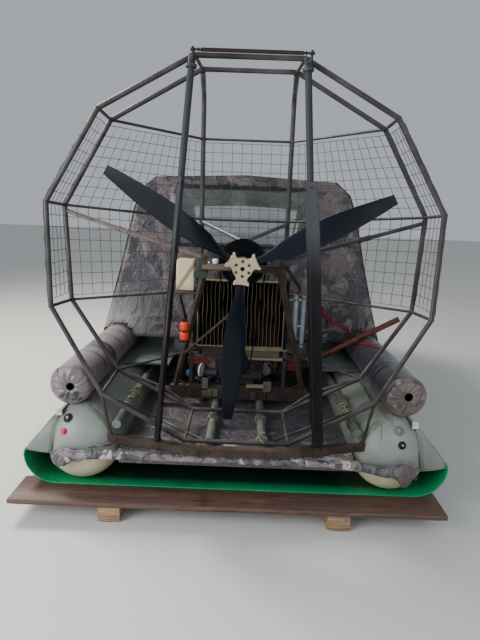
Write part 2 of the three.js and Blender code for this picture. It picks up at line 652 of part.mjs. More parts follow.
// blade stations as [radius, chord ahead, chord behind, thickness, twist in degrees]
const BLADE = [[100, 24, 24, 22, 40], [170, 30, 36, 20, 36], [260, 52, 62, 17, 30], [400, 78, 84, 14, 24], [540, 82, 86, 12, 19], [680, 70, 74, 10, 15.5], [800, 52, 54, 8, 13], [868, 32, 34, 6, 12], [BLADE_TIP, 14, 14, 4, 12]];
function bladeBody() {
  const rings = BLADE.map(([r, ahead, behind, thick, twist]) => {
    const t = (twist * Math.PI) / 180;
    const section = [[ahead, 0], [ahead * 0.6, thick * 0.42], [0, thick * 0.5], [-behind * 0.55, thick * 0.34], [-behind, 0], [-behind * 0.55, -thick * 0.3], [0, -thick * 0.42], [ahead * 0.6, -thick * 0.36]];
    return section.map(([c, n]) => [r, PROP_Y + c * Math.sin(t) + n * Math.cos(t), HUB_Z + c * Math.cos(t) - n * Math.sin(t)]);
  });
  return loft(rings);
}
function turned(body, degrees) {
  const t = (-degrees * Math.PI) / 180;
  const c = Math.cos(t);
  const s = Math.sin(t);
  const moved = body.translate([0, 0, -HUB_Z]);
  return moved.transform([c, 0, -s, 0, 0, 1, 0, 0, s, 0, c, 0, 0, 0, HUB_Z, 1]);
}
const armList = [];
for (const [, a] of BLADE_ANGLES) {
  armList.push(turned(rod([40, PROP_Y, HUB_Z], [100 - GAP, PROP_Y, HUB_Z], 34, 12), a));
}
put("prop_hub", join([hub, ...armList]), ALU, 0.35, 0.9);
for (const [n, a] of BLADE_ANGLES) {
  put("prop_blade_" + n, turned(bladeBody(), a), 0x232d37, 0.4, 0.05);
}

// Rudders: a leaning post that turns on a pin in the stern beam, its board along it, an arm at the top
const RUDDER_TURN = 8;
// board outline as [height over the cage centre, ahead of the post, behind the post]
const BOARD = [[408, 55, 100], [300, 80, 130], [150, 90, 150], [-860, 90, 150], [-862, 22, 150], [-925, 22, 120]];
const ARM_Z = POST_TOP[2] - 24;
const TIE_Z = ARM_Z + 24;
function rudder(s) {
  const turn = (RUDDER_TURN * Math.PI) / 180;
  const rings = BOARD.map(([h, ahead, behind]) => {
    const [px, py, pz] = postAt(C + h);
    const section = [[ahead, 0], [ahead * 0.6, 8], [0, 10], [-behind * 0.6, 7], [-behind, 2], [-behind, -2], [-behind * 0.6, -7], [0, -10], [ahead * 0.6, -8]];
    return section.map(([c, n]) => [s * px - c * Math.sin(turn) + n * Math.cos(turn), py + c * Math.cos(turn) + n * Math.sin(turn), pz]);
  });
  const top = postAt(POST_TOP[2], s);
  const axisAtTie = postAt(TIE_Z, s);
  const armEnd = [axisAtTie[0] + 70 * Math.sin(turn), axisAtTie[1] - 70 * Math.cos(turn), ARM_Z];
  return join([
    rod(postAt(POST_FOOT, s), top, POST_R, 16),
    rod(postAt(POST_FOOT - 30, s), postAt(POST_FOOT + 4, s), PIN_R, 12),
    loft(rings),
    rod(postAt(ARM_Z, s), armEnd, 6, 6),
    rod([armEnd[0], armEnd[1], ARM_Z - 8], [armEnd[0], armEnd[1], ARM_Z + 38], PIN_R, 12),
  ]);
}
put("rudder_port", rudder(-1), 0x1e1c20, 0.5, 0.3);
put("rudder_starboard", rudder(1), 0x1e1c20, 0.5, 0.3);
const turn0 = (RUDDER_TURN * Math.PI) / 180;
const tieY = postAt(TIE_Z)[1] - 70 * Math.cos(turn0);
const tieX = 70 * Math.sin(turn0);
const pinX = postAt(TIE_Z)[0];
const tie = [
  rod([-pinX + tieX, tieY, TIE_Z - 5], [-pinX + tieX, tieY, TIE_Z + 5], 12, 16),
  rod([pinX + tieX, tieY, TIE_Z - 5], [pinX + tieX, tieY, TIE_Z + 5], 13, 16),
  rod([-pinX + tieX + 8, tieY, TIE_Z], [pinX + tieX - 8, tieY, TIE_Z], 4.5, 8),
  rod([-pinX + tieX + 32, tieY, TIE_Z], [pinX + tieX - 32, tieY, TIE_Z], 8.5, 8),
];
// the starboard eye is wider, as the linkage is open there
const tieBores = [[-1, 0.8], [1, 2]].map(([s, wide]) => {
  const x = s * pinX + tieX;
  return rod([x, tieY, TIE_Z - 40], [x, tieY, TIE_Z + 40], PIN_R + wide, 24);
});
put("tie_rod", join(tie).subtract(join(tieBores)), 0x3a3434, 0.5, 0.6);

// Tent over the crew: hollow, with door openings and cut windows, as [x, z] half outlines outside
const TENT_FOOT = 694;
const TENT_OUT = [[1054.6, 694], [1030, 776], [963, 1000], [880, 1300], [800, 1640], [745, 1780], [640, 1870], [0, 1900]];
// rows as [y, width over that at the foot, part of the height lost]
function tentRing(y, narrow, drop, thick, foot) {
  const half = TENT_OUT.map(([x, z], i) => {
    const up = Math.max(0, z - 800);
    const inward = z > 1700 ? thick * 0.6 : thick * 0.95;
    const height = i === 0 ? foot : z - up * drop - (z > 1700 ? thick : thick * 0.25);
    return [i === TENT_OUT.length - 1 ? 0 : x * (1 - (narrow * up) / 1100) - inward, height];
  });
  const port = [...half].reverse().slice(1).map(([x, z]) => [-x, y, z]);
  return [...half.map(([x, z]) => [x, y, z]), ...port];
}
function tentSolid(thick, foot) {
  const rows = [[1060 + thick, 0, 0], [2800, 0.02, 0], [3420 - thick, 0.08, 0.62]];
  return loft(rows.map(([y, narrow, drop]) => tentRing(y, narrow, drop, thick, foot)));
}
const overTubes = horseshoe(UPPER_X, UPPER_Z, 20, UPPER_R + GAP, 105 + GAP, 40, 16, UPPER_LIFT);
const shell = tentSolid(0, TENT_FOOT).subtract(tentSolid(10, TENT_FOOT - 30)).subtract(overTubes);
const rearWindow = box(-480, 480, 1000, 1200, C + 20, C + 430);
const doors = box(-1100, 1100, 1750, 2450, 880, 1600);
const frontWindow = box(-600, 600, 2950, 3350, 1180, 1760);
put("tent", shell.subtract(rearWindow).subtract(doors).subtract(frontWindow), CAMO, 0.85, 0);
const glass = tentSolid(3, TENT_FOOT).subtract(tentSolid(7, TENT_FOOT - 30));
const paneRear = box(-480 + GAP, 480 - GAP, 1000, 1200, C + 20 + GAP, C + 430 - GAP);
const paneFront = box(-600 + GAP, 600 - GAP, 2950 + GAP, 3350 - GAP, 1180 + GAP, 1760 - GAP);
put("rear_window", glass.intersect(paneRear), 0xb8c4c8, 0.1, 0);
put("windscreen", glass.intersect(paneFront), 0xb8c4c8, 0.1, 0);

// Deck board across the tubes, notched for the engine, then two seat benches and the console
const DECK_LOW = LOWER_Z + LOWER_R * Math.cos(Math.PI / 20) + GAP;
const DECK_TOP = DECK_LOW + 15;
const engineNotch = box(-500, 500, 700, 1120, 500, 600);
const footWell = box(-560, 560, 1500, 2950, 500, 600);
const deck = box(-856, 856, 790, 3300, DECK_LOW, DECK_TOP);
put("deck_board", deck.subtract(engineNotch).subtract(footWell), 0x6e7d82, 0.7, 0);
for (const [name, y0] of [["rear", 1130], ["front", 1980]]) {
  const foot = (name === "rear" ? DECK_TOP : FLOOR_TOP) + GAP;
  const seat = [box(-520, 520, y0, y0 + 440, foot, 760), box(-520, 520, y0, y0 + 90, 755, 1180)];
  put("seat_" + name, join(seat), 0x4c5356, 0.8, 0);
}
// and the steering wheel on a short column, tilted towards the driver
const WHEEL = [210, 2712, 1010];
const LEAN = 0.42;
const along = (k) => [WHEEL[0], WHEEL[1] + Math.cos(LEAN) * k, WHEEL[2] - Math.sin(LEAN) * k];
const consoleParts = [
  box(-420, 420, 2860, 2948, FLOOR_TOP + GAP, 900),
  box(-420, 420, 2780, 2948, 800, 1000),
  rod(along(50 + GAP), along(140), 32, 16),
];
put("console", join(consoleParts), 0x3a4044, 0.6, 0.1);
const wheelRim = new THREE.TorusGeometry(165, 13, 8, 28);
wheelRim.rotateX(Math.PI / 2 - LEAN);
wheelRim.translate(...WHEEL);
const spokes = [0, 120, 240].map((a) => {
  const t = (a * Math.PI) / 180;
  const up = Math.sin(t) * 160;
  return rod(along(0), [WHEEL[0] + Math.cos(t) * 160, WHEEL[1] + up * Math.sin(LEAN), WHEEL[2] + up * Math.cos(LEAN)], 9, 6);
});
put("steering_wheel", join([solid(wheelRim), ...spokes, rod(along(-14), along(50), 24, 16)]), 0x202226, 0.6, 0.1);

// Stands: a plank on two blocks across the stern and another under the forward hull
const STANDS = [["aft", -240, 0, -35], ["forward", 3250, 3490, 35]];
for (const [name, y0, y1, off] of STANDS) {
  put("stand_" + name, join([box(off - 1155, off + 1155, y0, y1, PLANK_TOP - 28, PLANK_TOP), box(-720, -604, y0 + 20, y1 - 20, 0, PLANK_TOP - 27), box(500, 620, y0 + 20, y1 - 20, 0, PLANK_TOP - 27)]), 0x50382e, 0.85, 0);
}

// Row frame: origin under the middle of the whole box, on the ground
const span = new THREE.Box3().setFromObject(root);
root.position.set(-(span.min.x + span.max.x) / 2, -(span.min.y + span.max.y) / 2, 0);

export default root;
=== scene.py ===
"""Looks of the inflatable airboat: finishes, welded cage, propeller, tubes, cloth and stage."""
import math

import bmesh
import bpy
from bpy.props import FloatProperty, FloatVectorProperty, PointerProperty
from mathutils import Matrix, Vector, noise


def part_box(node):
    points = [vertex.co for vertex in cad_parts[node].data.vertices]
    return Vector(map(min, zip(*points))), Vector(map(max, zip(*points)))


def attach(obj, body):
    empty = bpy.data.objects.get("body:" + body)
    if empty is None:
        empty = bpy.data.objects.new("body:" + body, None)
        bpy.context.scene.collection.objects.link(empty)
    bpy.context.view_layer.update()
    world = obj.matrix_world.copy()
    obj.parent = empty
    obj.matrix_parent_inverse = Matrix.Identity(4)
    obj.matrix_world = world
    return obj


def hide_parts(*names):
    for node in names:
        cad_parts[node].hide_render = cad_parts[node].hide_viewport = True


bl_info = {
    "name": "Inflatable airboat",
    "version": (1, 0, 0),
    "blender": (4, 5, 0),
    "location": "View3D > Sidebar > Airboat",
    "description": "Builds the finished pieces of an inflatable airboat round its packed frame",
    "category": "Add Mesh",
}

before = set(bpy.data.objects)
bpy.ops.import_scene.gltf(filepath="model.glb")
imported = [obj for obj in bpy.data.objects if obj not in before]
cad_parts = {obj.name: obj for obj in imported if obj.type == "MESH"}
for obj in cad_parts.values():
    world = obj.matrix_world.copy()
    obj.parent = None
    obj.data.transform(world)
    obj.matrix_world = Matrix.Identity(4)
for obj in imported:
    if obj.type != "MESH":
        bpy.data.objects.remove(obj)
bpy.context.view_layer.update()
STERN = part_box("stand_aft")[1].y

# Sizes shared by several pieces, in millimetres from the rear cage ring and the ground
CAGE = 1380  # middle of the cage rings
HUB = 1340  # propeller shaft
CRANK = 715  # crankshaft, with the lower pulley
PROP_Y = 130  # plane of the blades
BLADES = (("a", 26.4), ("b", 146.4), ("c", 266.4))
REAR_HALF = ((262, 973), (728, 724), (1003, 275), (1003, -262), (748, -742), (290, -1000))
FRONT_HALF = ((252, 994), (747, 724), (1018, 264), (1000, -278), (735, -700), (276, -938))
SIDES = (("port", -1), ("starboard", 1))
LOWER_X, LOWER_Z, LOWER_R = 862, 346, 211.5
UPPER_X, UPPER_Z, UPPER_R = 930, 670, 115.4
INNER_RAILS = (-150, 146)


def tone(code):
    """Linear colour of a six-figure colour code."""
    parts = [int(code[i:i + 2], 16) / 255 for i in (0, 2, 4)]
    return tuple(p / 12.92 if p <= 0.04045 else ((p + 0.055) / 1.055) ** 2.4 for p in parts)


def colour_property(name, description, code):
    """Colour that a user can change, set from a colour code."""
    return FloatVectorProperty(
        name=name, description=description, subtype="COLOR", size=3, min=0, max=1, default=tone(code))


def length_property(name, description, millimetres, low, high):
    """Length that a user can change, given in millimetres."""
    return FloatProperty(
        name=name, description=description, unit="LENGTH", subtype="DISTANCE",
        default=millimetres / 1000, min=low / 1000, max=high / 1000)


class AirboatColours(bpy.types.PropertyGroup):
    """Colours of the airboat's finishes"""
    steel: colour_property("Cage steel", "Dark paint on the welded cage", "403b3e")
    brown: colour_property("Brown steel", "Brown paint on the beam and the stand", "41352f")
    wire: colour_property("Net wire", "Dull wire of the guard nets", "55504e")
    pvc: colour_property("Tube grey", "Grey fabric on the upper half of the lower tubes", "899088")
    cream: colour_property("Tube cream", "Cream fabric under the lower tubes", "c3bc9c")
    green: colour_property("Bottom green", "Sliding skin under the hull", "0f9058")
    camo_base: colour_property("Camouflage base", "Brown grey ground of the camouflage cloth", "75696a")
    camo_dark: colour_property("Camouflage dark", "Dark patches of the camouflage cloth", "34343f")
    camo_pale: colour_property("Camouflage pale", "Pale patches of the camouflage cloth", "b7aaa6")
    rope: colour_property("Rope", "Lashings of the rails", "8b8668")
    blade: colour_property("Blades", "Composite of the propeller blades", "111923")
    alloy: colour_property("Bright alloy", "Bolts and other bare alloy", "c9c3ba")
    hub: colour_property("Hub alloy", "Machined hub of the propeller", "dccaa6")
    tank: colour_property("Tank plastic", "Expansion tank", "dbcba9")
    fins: colour_property("Radiator fins", "Dusty fins of the radiator", "4a3a2c")
    rust: colour_property("Rust", "Rusted exhaust pipe", "5a2f28")
    hose: colour_property("Coolant pipes", "Blue grey coolant pipes", "8d989d")
    deck: colour_property("Deck board", "Grey painted plywood", "676e6c")
    seat: colour_property("Seat cloth", "Cover of the benches", "4a5154")
    plank: colour_property("Plank wood", "Wet brown plank of the stands", "5a4034")
    block: colour_property("Block wood", "Pale wooden blocks of the stands", "9a7d5c")
    orange: colour_property("Orange caps", "Plastic caps beside the radiator", "dc3a17")
    blue: colour_property("Blue cap", "Plastic cap beside the engine", "1f5fae")
    strap: colour_property("Strap red", "Red straps and engine cover", "b3242a")


class AirboatSizes(bpy.types.PropertyGroup):
    """Sizes that shape the airboat's small details"""
    net_pitch: length_property("Net pitch", "Distance between two wires of a guard net", 62, 30, 120)
    wire_size: length_property("Wire size", "Radius of a net wire", 1.7, 0.6, 3)
    bead_size: length_property("Weld bead", "Radius of a weld bead on the cage", 2.6, 1, 5)
    rope_size: length_property("Rope size", "Radius of the lashing rope", 5, 2, 9)
    tent_folds: length_property("Tent folds", "Depth of the folds in the tent cloth", 13, 0, 30)
    floor_folds: length_property("Floor folds", "Depth of the folds in the floor cloth", 7, 0, 20)


def tint(name, factor=1.0):
    """A colour of the sidebar, or of a six-figure code, made darker or lighter."""
    colours = bpy.context.scene.airboat_colours
    rgb = getattr(colours, name) if hasattr(colours, name) else tone(name)
    return tuple(min(1.0, c * factor) for c in rgb)


def size(name):
    """A length of the panel, in millimetres."""
    return getattr(bpy.context.scene.airboat_sizes, name) * 1000


class Paint:
    """One procedural finish: a shader fed by textures in the piece's own coordinates"""

    def __init__(self, name, **values):
        self.material = bpy.data.materials.new(name + "_finish")
        self.material.use_nodes = True
        self.nodes = self.material.node_tree.nodes
        self.links = self.material.node_tree.links
        self.shader = next(n for n in self.nodes if n.type == "BSDF_PRINCIPLED")
        self.place = self.nodes.new("ShaderNodeTexCoord").outputs["Object"]
        for socket, value in values.items():
            self.shader.inputs[socket.replace("_", " ").title().replace("Ior", "IOR")].default_value = value

    def fill(self, socket, value):
        """Links a value that comes from a node, and sets any other."""
        if isinstance(value, bpy.types.NodeSocket):
            self.links.new(value, socket)
        elif socket.type == "RGBA":
            socket.default_value = (*value, 1)
        else:
            socket.default_value = value

    def node(self, kind, inputs=(), **settings):
        """A new node with its inputs and settings."""
        made = self.nodes.new(kind)
        for key, value in settings.items():
            setattr(made, key, value)
        for socket, value in dict(inputs).items():
            self.fill(made.inputs[socket], value)
        return made

    def maths(self, operation, *values):
        """Result of a math node on the values."""
        return self.node("ShaderNodeMath", enumerate(values), operation=operation).outputs[0]

    def split(self, vector=None):
        """X, Y and Z of a vector, or of the place on the piece."""
        return self.node("ShaderNodeSeparateXYZ", {"Vector": vector or self.place}).outputs

    def stretched(self, x, y, z, turn=0.0):
        """Place on the piece, scaled along its axes and turned."""
        return self.node("ShaderNodeMapping", {
            "Vector": self.place, "Scale": (x, y, z), "Rotation": (0, 0, turn)}).outputs[0]

    def cloud(self, scale, detail=4.0, roughness=0.5, distortion=0.0, place=None):
        """Cloudy value at a place."""
        return self.node("ShaderNodeTexNoise", {
            "Vector": place or self.place, "Scale": scale, "Detail": detail,
            "Roughness": roughness, "Distortion": distortion}).outputs[0]

    def bands(self, scale, distortion=0.0, direction="X", place=None):
        """Striped value along an axis."""
        return self.node("ShaderNodeTexWave", {
            "Vector": place or self.place, "Scale": scale, "Distortion": distortion},
            bands_direction=direction).outputs["Fac"]

    def ramp(self, value, stops, hard=False):
        """Colours laid over a value."""
        made = self.node("ShaderNodeValToRGB", {"Fac": value})
        made.color_ramp.interpolation = "CONSTANT" if hard else "LINEAR"
        elements = made.color_ramp.elements
        while len(elements) < len(stops):
            elements.new(0.5)
        for element, (position, rgb) in zip(elements, stops):
            element.position = position
            element.color = (*(rgb if hasattr(rgb, "__len__") else (rgb,) * 3), 1)
        return made.outputs[0]

    def shades(self, value, name, dark, light, stops):
        """Ramp from a colour made dark over the colour itself to the colour made light."""
        return self.ramp(value, tuple(zip(stops, (tint(name, dark), tint(name), tint(name, light)))))

    def mixed(self, factor, a, b, way="MIX"):
        """Two colours mixed by a factor."""
        made = self.node("ShaderNodeMix", {}, data_type="RGBA", blend_type=way)
        for index, value in ((0, factor), (6, a), (7, b)):
            self.fill(made.inputs[index], value)
        return made.outputs[2]

    def darkened(self, share, base, value, darkest, start=0.3, end=0.7):
        """The base, darkened where the value is low."""
        return self.mixed(share, base, self.ramp(value, ((start, darkest), (end, 1.0))), "MULTIPLY")

    def level(self, value, low, high, start=0.0, end=1.0):
        """A value moved from start and end to low and high."""
        return self.node("ShaderNodeMapRange", {
            "Value": value, "From Min": start, "From Max": end, "To Min": low, "To Max": high}).outputs[0]

    def spread(self, value, low, high):
        """Level of a cloud, whose values lie between 0.3 and 0.7."""
        return self.level(value, low, high, 0.3, 0.7)

    def upward(self, low=0.2, high=0.9):
        """Runs from 0 on walls to 1 on faces that look up."""
        normal = self.node("ShaderNodeNewGeometry").outputs["Normal"]
        return self.level(self.split(normal)["Z"], 0, 1, low, high)

    def bump(self, height, strength, millimetres, after=None):
        """Fine relief, added after another where one is given."""
        made = self.node("ShaderNodeBump", {"Height": height, "Strength": strength, "Distance": millimetres / 1000})
        if after:
            self.links.new(after, made.inputs["Normal"])
        return made.outputs[0]

    def wear(self, base, rough=None, normal=None):
        """Joins colour, roughness and relief to the shader and gives back the material."""
        for value, socket in ((base, "Base Color"), (rough, "Roughness"), (normal, "Normal")):
            if value is not None:
                self.links.new(value, self.shader.inputs[socket])
        return self.material


# Plain finishes: colour of the sidebar or code, dark and light factor, patch scale, grain scale, roughness range,
# metallic, relief in mm, dust
PLAIN = {
    "cage_steel": ("steel", 0.45, 1.7, 7, 160, (0.34, 0.58), 0.1, 0.3, 0.35),
    "brown_steel": ("brown", 0.55, 1.6, 8, 170, (0.4, 0.65), 0.05, 0.3, 0.22),
    "net_wire": ("wire", 0.4, 1.1, 14, 240, (0.4, 0.6), 0.4, 0.1, 0.0),
    "strut_tube": ("84776e", 0.6, 1.4, 9, 220, (0.35, 0.6), 0.5, 0.15, 0.2),
    "rudder_paint": ("18181c", 0.6, 1.4, 6, 150, (0.35, 0.55), 0.0, 0.25, 0.08),
    "rod_steel": ("brown", 0.6, 1.5, 20, 260, (0.3, 0.55), 0.7, 0.1, 0.0),
    "hub_alloy": ("hub", 0.75, 1.1, 30, 400, (0.3, 0.5), 0.45, 0.08, 0.0),
    "pulley_dark": ("14181e", 0.6, 1.4, 20, 260, (0.4, 0.6), 0.1, 0.1, 0.0),
    "bolt_steel": ("7a7670", 0.6, 1.4, 60, 500, (0.28, 0.5), 0.9, 0.05, 0.0),
    "blade_composite": ("blade", 0.75, 1.25, 5, 130, (0.26, 0.42), 0.0, 0.12, 0.0),
    "belt_rubber": ("161517", 0.6, 1.4, 20, 300, (0.6, 0.85), 0.0, 0.15, 0.1),
    "engine_alloy": ("steel", 0.7, 2.6, 14, 110, (0.45, 0.75), 0.55, 0.8, 0.3),
    "cover_red": ("7a1a20", 0.6, 1.4, 10, 160, (0.3, 0.5), 0.0, 0.2, 0.3),
    "hose_blue": ("hose", 0.7, 1.25, 12, 260, (0.3, 0.55), 0.25, 0.15, 0.1),
    "console_paint": ("2f3234", 0.6, 1.4, 10, 420, (0.45, 0.65), 0.0, 0.35, 0.1),
    "wheel_rim": ("242224", 0.6, 1.4, 20, 300, (0.5, 0.7), 0.0, 0.2, 0.0),
    "strap_red": ("861e27", 0.6, 1.4, 30, 700, (0.6, 0.85), 0.0, 0.3, 0.0),
    "tube_tape": ("767c72", 0.6, 1.4, 12, 400, (0.42, 0.6), 0.0, 0.2, 0.1),
    "bolt_bronze": ("6b5238", 0.6, 1.4, 30, 400, (0.3, 0.5), 0.7, 0.1, 0.0),
    "leg_blue": ("303044", 0.6, 1.4, 12, 300, (0.35, 0.5), 0.0, 0.1, 0.1),
    "dull_plate": ("5c594c", 0.6, 1.4, 9, 300, (0.45, 0.65), 0.1, 0.2, 0.1),
    "can_grey": ("39434c", 0.6, 1.4, 12, 300, (0.3, 0.5), 0.1, 0.1, 0.0),
    "rail_fabric": ("667069", 0.6, 1.4, 9, 300, (0.4, 0.6), 0.0, 0.2, 0.1),
    "strut_blue": ("4b5560", 0.6, 1.4, 12, 300, (0.35, 0.5), 0.1, 0.1, 0.1),
    "beige_rail": ("8f876b", 0.6, 1.4, 9, 240, (0.4, 0.6), 0.1, 0.2, 0.2),
    "pale_tube": ("7c6a5c", 0.6, 1.4, 9, 200, (0.35, 0.55), 0.2, 0.2, 0.2),
    "fin_line": ("57503c", 0.6, 1.4, 9, 300, (0.45, 0.65), 0.1, 0.2, 0.0),
    "hose_dark": ("1d1c1e", 0.6, 1.4, 30, 400, (0.45, 0.65), 0.0, 0.2, 0.1),
    "clamp_green": ("20302a", 0.6, 1.4, 30, 400, (0.4, 0.6), 0.0, 0.2, 0.0),
    "orange_cap": ("orange", 0.8, 1.1, 30, 300, (0.35, 0.5), 0.0, 0.2, 0.0),
    "cap_blue": ("blue", 0.8, 1.2, 30, 300, (0.35, 0.5), 0.0, 0.2, 0.0),
    "pulley_bright": ("464644", 0.6, 1.4, 20, 300, (0.3, 0.5), 0.7, 0.1, 0.1),
    "dial_face": ("a5a19a", 0.6, 1.4, 30, 400, (0.15, 0.3), 0.3, 0.1, 0.0),
    # Dark seams and tapes, and also the painted net shadows on the upper tubes.
    "seam_dark": ("2e2c2e", 0.6, 1.4, 12, 400, (0.42, 0.6), 0.0, 0.2, 0.1),
    "valve_dark": ("1c1b1c", 0.6, 1.4, 30, 500, (0.35, 0.55), 0.0, 0.15, 0.1),
    "valve_red": ("strap", 1.2, 2.0, 30, 500, (0.35, 0.5), 0.0, 0.15, 0.1),
    "valve_pale": ("cream", 0.9, 1.3, 30, 500, (0.35, 0.5), 0.0, 0.15, 0.1),
    "bright_knob": ("e6e2dc", 0.6, 1.4, 30, 300, (0.3, 0.5), 0.0, 0.1, 0.0),
    "white_cloth": ("cfc9c2", 0.6, 1.4, 30, 300, (0.5, 0.7), 0.0, 0.6, 0.0),
    # Black for painted shade: inside the gathered tube ends and behind the radiator fins.
    "dark_hole": ("050505", 0.6, 1.4, 30, 300, (0.6, 0.8), 0.0, 0.1, 0.0),
    "green_rim": ("green", 1.2, 2.2, 12, 300, (0.3, 0.5), 0.0, 0.1, 0.0),
}

# Specular levels of finishes that mirror less of the sky than a clean paint does
DULL = {
    "blade_composite": 0.2, "belt_rubber": 0.05, "rudder_paint": 0.14, "brown_steel": 0.2, "cage_steel": 0.4,
    "pulley_dark": 0.1, "hose_dark": 0.1, "dark_hole": 0.0, "engine_alloy": 0.25, "seam_dark": 0.2, "valve_dark": 0.2,
    "wheel_rim": 0.2}

# Camouflage finishes: patch scale, ground, dark patches, pale patches, share of each, gloss, scale of the crumples
CAMO = {
    "camo_tent": (4.2, ("camo_base", 0.62), ("camo_dark", 0.8), ("camo_base", 1.15), (0.5, 0.6), 0.4, 6.0),
    "camo_tube": (1.9, ("camo_base",), ("camo_dark", 1.3), ("camo_base", 1.3), (0.6, 0.64), 0.45),
    # The two upper tubes take lit and shaded copies of one cloth: the port copy lighter as painted light, the starboard
    # copy darker as painted shade.
    "camo_tube_port": (1.6, ("camo_base", 1.1), ("camo_base", 0.8), ("camo_base", 1.5), (0.56, 0.62), 0.5),
    "camo_tube_starboard": (1.7, ("camo_dark", 0.9), ("camo_dark", 0.55), ("camo_base", 0.4), (0.5, 0.6), 0.4),
    "camo_cap_port": (4.5, ("camo_base", 0.9), ("camo_dark", 0.6), ("camo_base", 0.6), (0.56, 0.6), 0.5),
    "camo_cap_starboard": (4.5, ("74605c", 0.8), ("4d4242",), ("8b7c78",), (0.52, 0.6), 0.5),
    "camo_navy": (4.0, ("camo_dark", 0.7), ("camo_dark", 0.45), ("camo_dark", 1.0), (0.5, 0.6), 0.5),
    "camo_floor": (3.6, ("camo_dark", 1.1), ("camo_base", 0.4), ("camo_base", 0.9), (0.5, 0.66), 0.7, 5.0),
    "camo_hem": (4.2, ("camo_base",), ("camo_dark",), ("camo_pale",), (0.5, 0.58), 0.5, 9.0),
}


def plain_finish(name, base, dark, light, patch, grain, rough, metal, relief, dust):
    """One colour with patches, a fine grain and dust on what looks up."""
    paint = Paint(name, metallic=metal, specular_ior_level=DULL.get(name, 0.5))
    patches = paint.cloud(patch, 6, 0.6)
    fine = paint.cloud(grain, 3, 0.6)
    shades = paint.shades(patches, base, dark, light, (0.3, 0.52, 0.75))
    shades = paint.darkened(0.35, shades, fine, 0.45)
    if name == "rudder_paint":
        # Painted light: the top of the rudder board, above 1.33 m, is lightened towards pale grey where light falls on
        # it.
        lit_top = paint.level(paint.split()["Z"], 0, 1, 1.33, 1.56)
        shades = paint.mixed(paint.level(lit_top, 0, 0.2), shades, tint("6c717b"))
    if dust:
        layer = paint.maths("MULTIPLY", paint.upward(), paint.level(patches, 0, dust, 0.35, 0.7))
        shades = paint.mixed(layer, shades, tint("9a8f80"))
    return paint.wear(shades, paint.spread(patches, rough[1], rough[0]), paint.bump(fine, 0.5, relief))


def camo_finish(name, scale, ground, dark, pale, share, gloss, crumple=0.0):
    """Camouflage cloth in a loose layout of its own: dark and pale patches over a ground colour, with painted
    highlights on its crumples.
    """
    paint = Paint(name, coat_weight=gloss, coat_roughness=0.25, sheen_weight=0.1)
    first = paint.cloud(scale, 2.5, 0.55, 0.9)
    shifted = paint.stretched(1.3, 0.8, 1.1, 0.7)
    second = paint.cloud(scale * 1.35, 3, 0.6, 1.2, shifted)
    third = paint.cloud(scale * 2.4, 3, 0.6, 0.6, paint.stretched(0.9, 1.2, 1.0, 2.1))
    cloth = tint(*ground)
    for cloud, part, most, patch in (
            (first, share[0], 1.0, tint(*dark)), (second, share[1], 1.0, tint(*pale)),
            (third, 0.62, 0.75, tuple(0.5 * c for c in cloth))):
        cloth = paint.mixed(paint.ramp(cloud, ((0.0, 0.0), (part, most)), True), cloth, patch)
    soil = paint.cloud(9, 6, 0.65)
    cloth = paint.darkened(0.5, cloth, soil, 0.55)
    normal = paint.bump(paint.cloud(22, 5, 0.6, 1.5), 0.5, 2.2)
    if crumple:
        bent = paint.cloud(crumple, 4, 0.5, 1.8, paint.stretched(1.0, 1.2, 0.6, 0.4))
        ridge = paint.ramp(bent, ((0.40, 0.0), (0.47, 0.35), (0.5, 1.0), (0.53, 0.35), (0.62, 0.1)))
        # Painted highlight: the crumple ridges are mixed towards a lightened pale colour.
        cloth = paint.mixed(paint.level(ridge, 0, 0.22), cloth, tuple(min(1.0, 1.5 * c) for c in tint(*pale)))
        normal = paint.bump(ridge, 0.7, 9, paint.bump(bent, 0.8, 22, normal))
    if name == "camo_tent":
        # Painted light: the low port corner of the tent is mixed towards pale grey as a glare.
        place = paint.split()
        port, low = paint.level(place["X"], 1, 0, -0.95, -0.62), paint.level(place["Z"], 1, 0, 0.85, 1.12)
        corner = paint.maths("MULTIPLY", port, low)
        cloth = paint.mixed(paint.level(corner, 0, 0.62), cloth, tint("b0b0ac"))
    threads = paint.mixed(0.5, paint.bands(420, 0, "X"), paint.bands(420, 0, "Z"))
    return paint.wear(cloth, paint.spread(soil, 0.35, 0.62), paint.bump(threads, 0.15, 0.25, normal))


def tube_finish(name, base):
    """Coated tube fabric, dusty and lightly scuffed."""
    paint = Paint(name, coat_weight=0.15, coat_roughness=0.35)
    soil = paint.cloud(4, 7, 0.62)
    fabric = paint.darkened(0.6, tint(base), soil, 0.72, end=0.72)
    scuffs = paint.ramp(paint.cloud(34, 8, 0.75, 0.4), ((0.52, 0.0), (0.68, 1.0)))
    fabric = paint.mixed(paint.level(scuffs, 0, 0.25), fabric, tint("5c605a"))
    normal = paint.bump(paint.cloud(3.2, 3, 0.5, 0.5), 0.35, 6)
    return paint.wear(fabric, paint.spread(soil, 0.5, 0.36), paint.bump(paint.cloud(520, 2), 0.25, 0.2, normal))


def flap_finish(name):
    """Grey fabric of the side flaps, streaked along the boat."""
    paint = Paint(name, coat_weight=0.1, coat_roughness=0.4)
    soil = paint.cloud(3, 7, 0.62, 0.3, paint.stretched(2.4, 0.5, 1))
    fabric = paint.darkened(0.6, tint("pvc", 0.72), soil, 0.6)
    normal = paint.bump(paint.cloud(7, 5, 0.6, 1.0), 0.5, 5)
    return paint.wear(fabric, paint.spread(soil, 0.62, 0.42), paint.bump(paint.cloud(520, 2), 0.25, 0.2, normal))


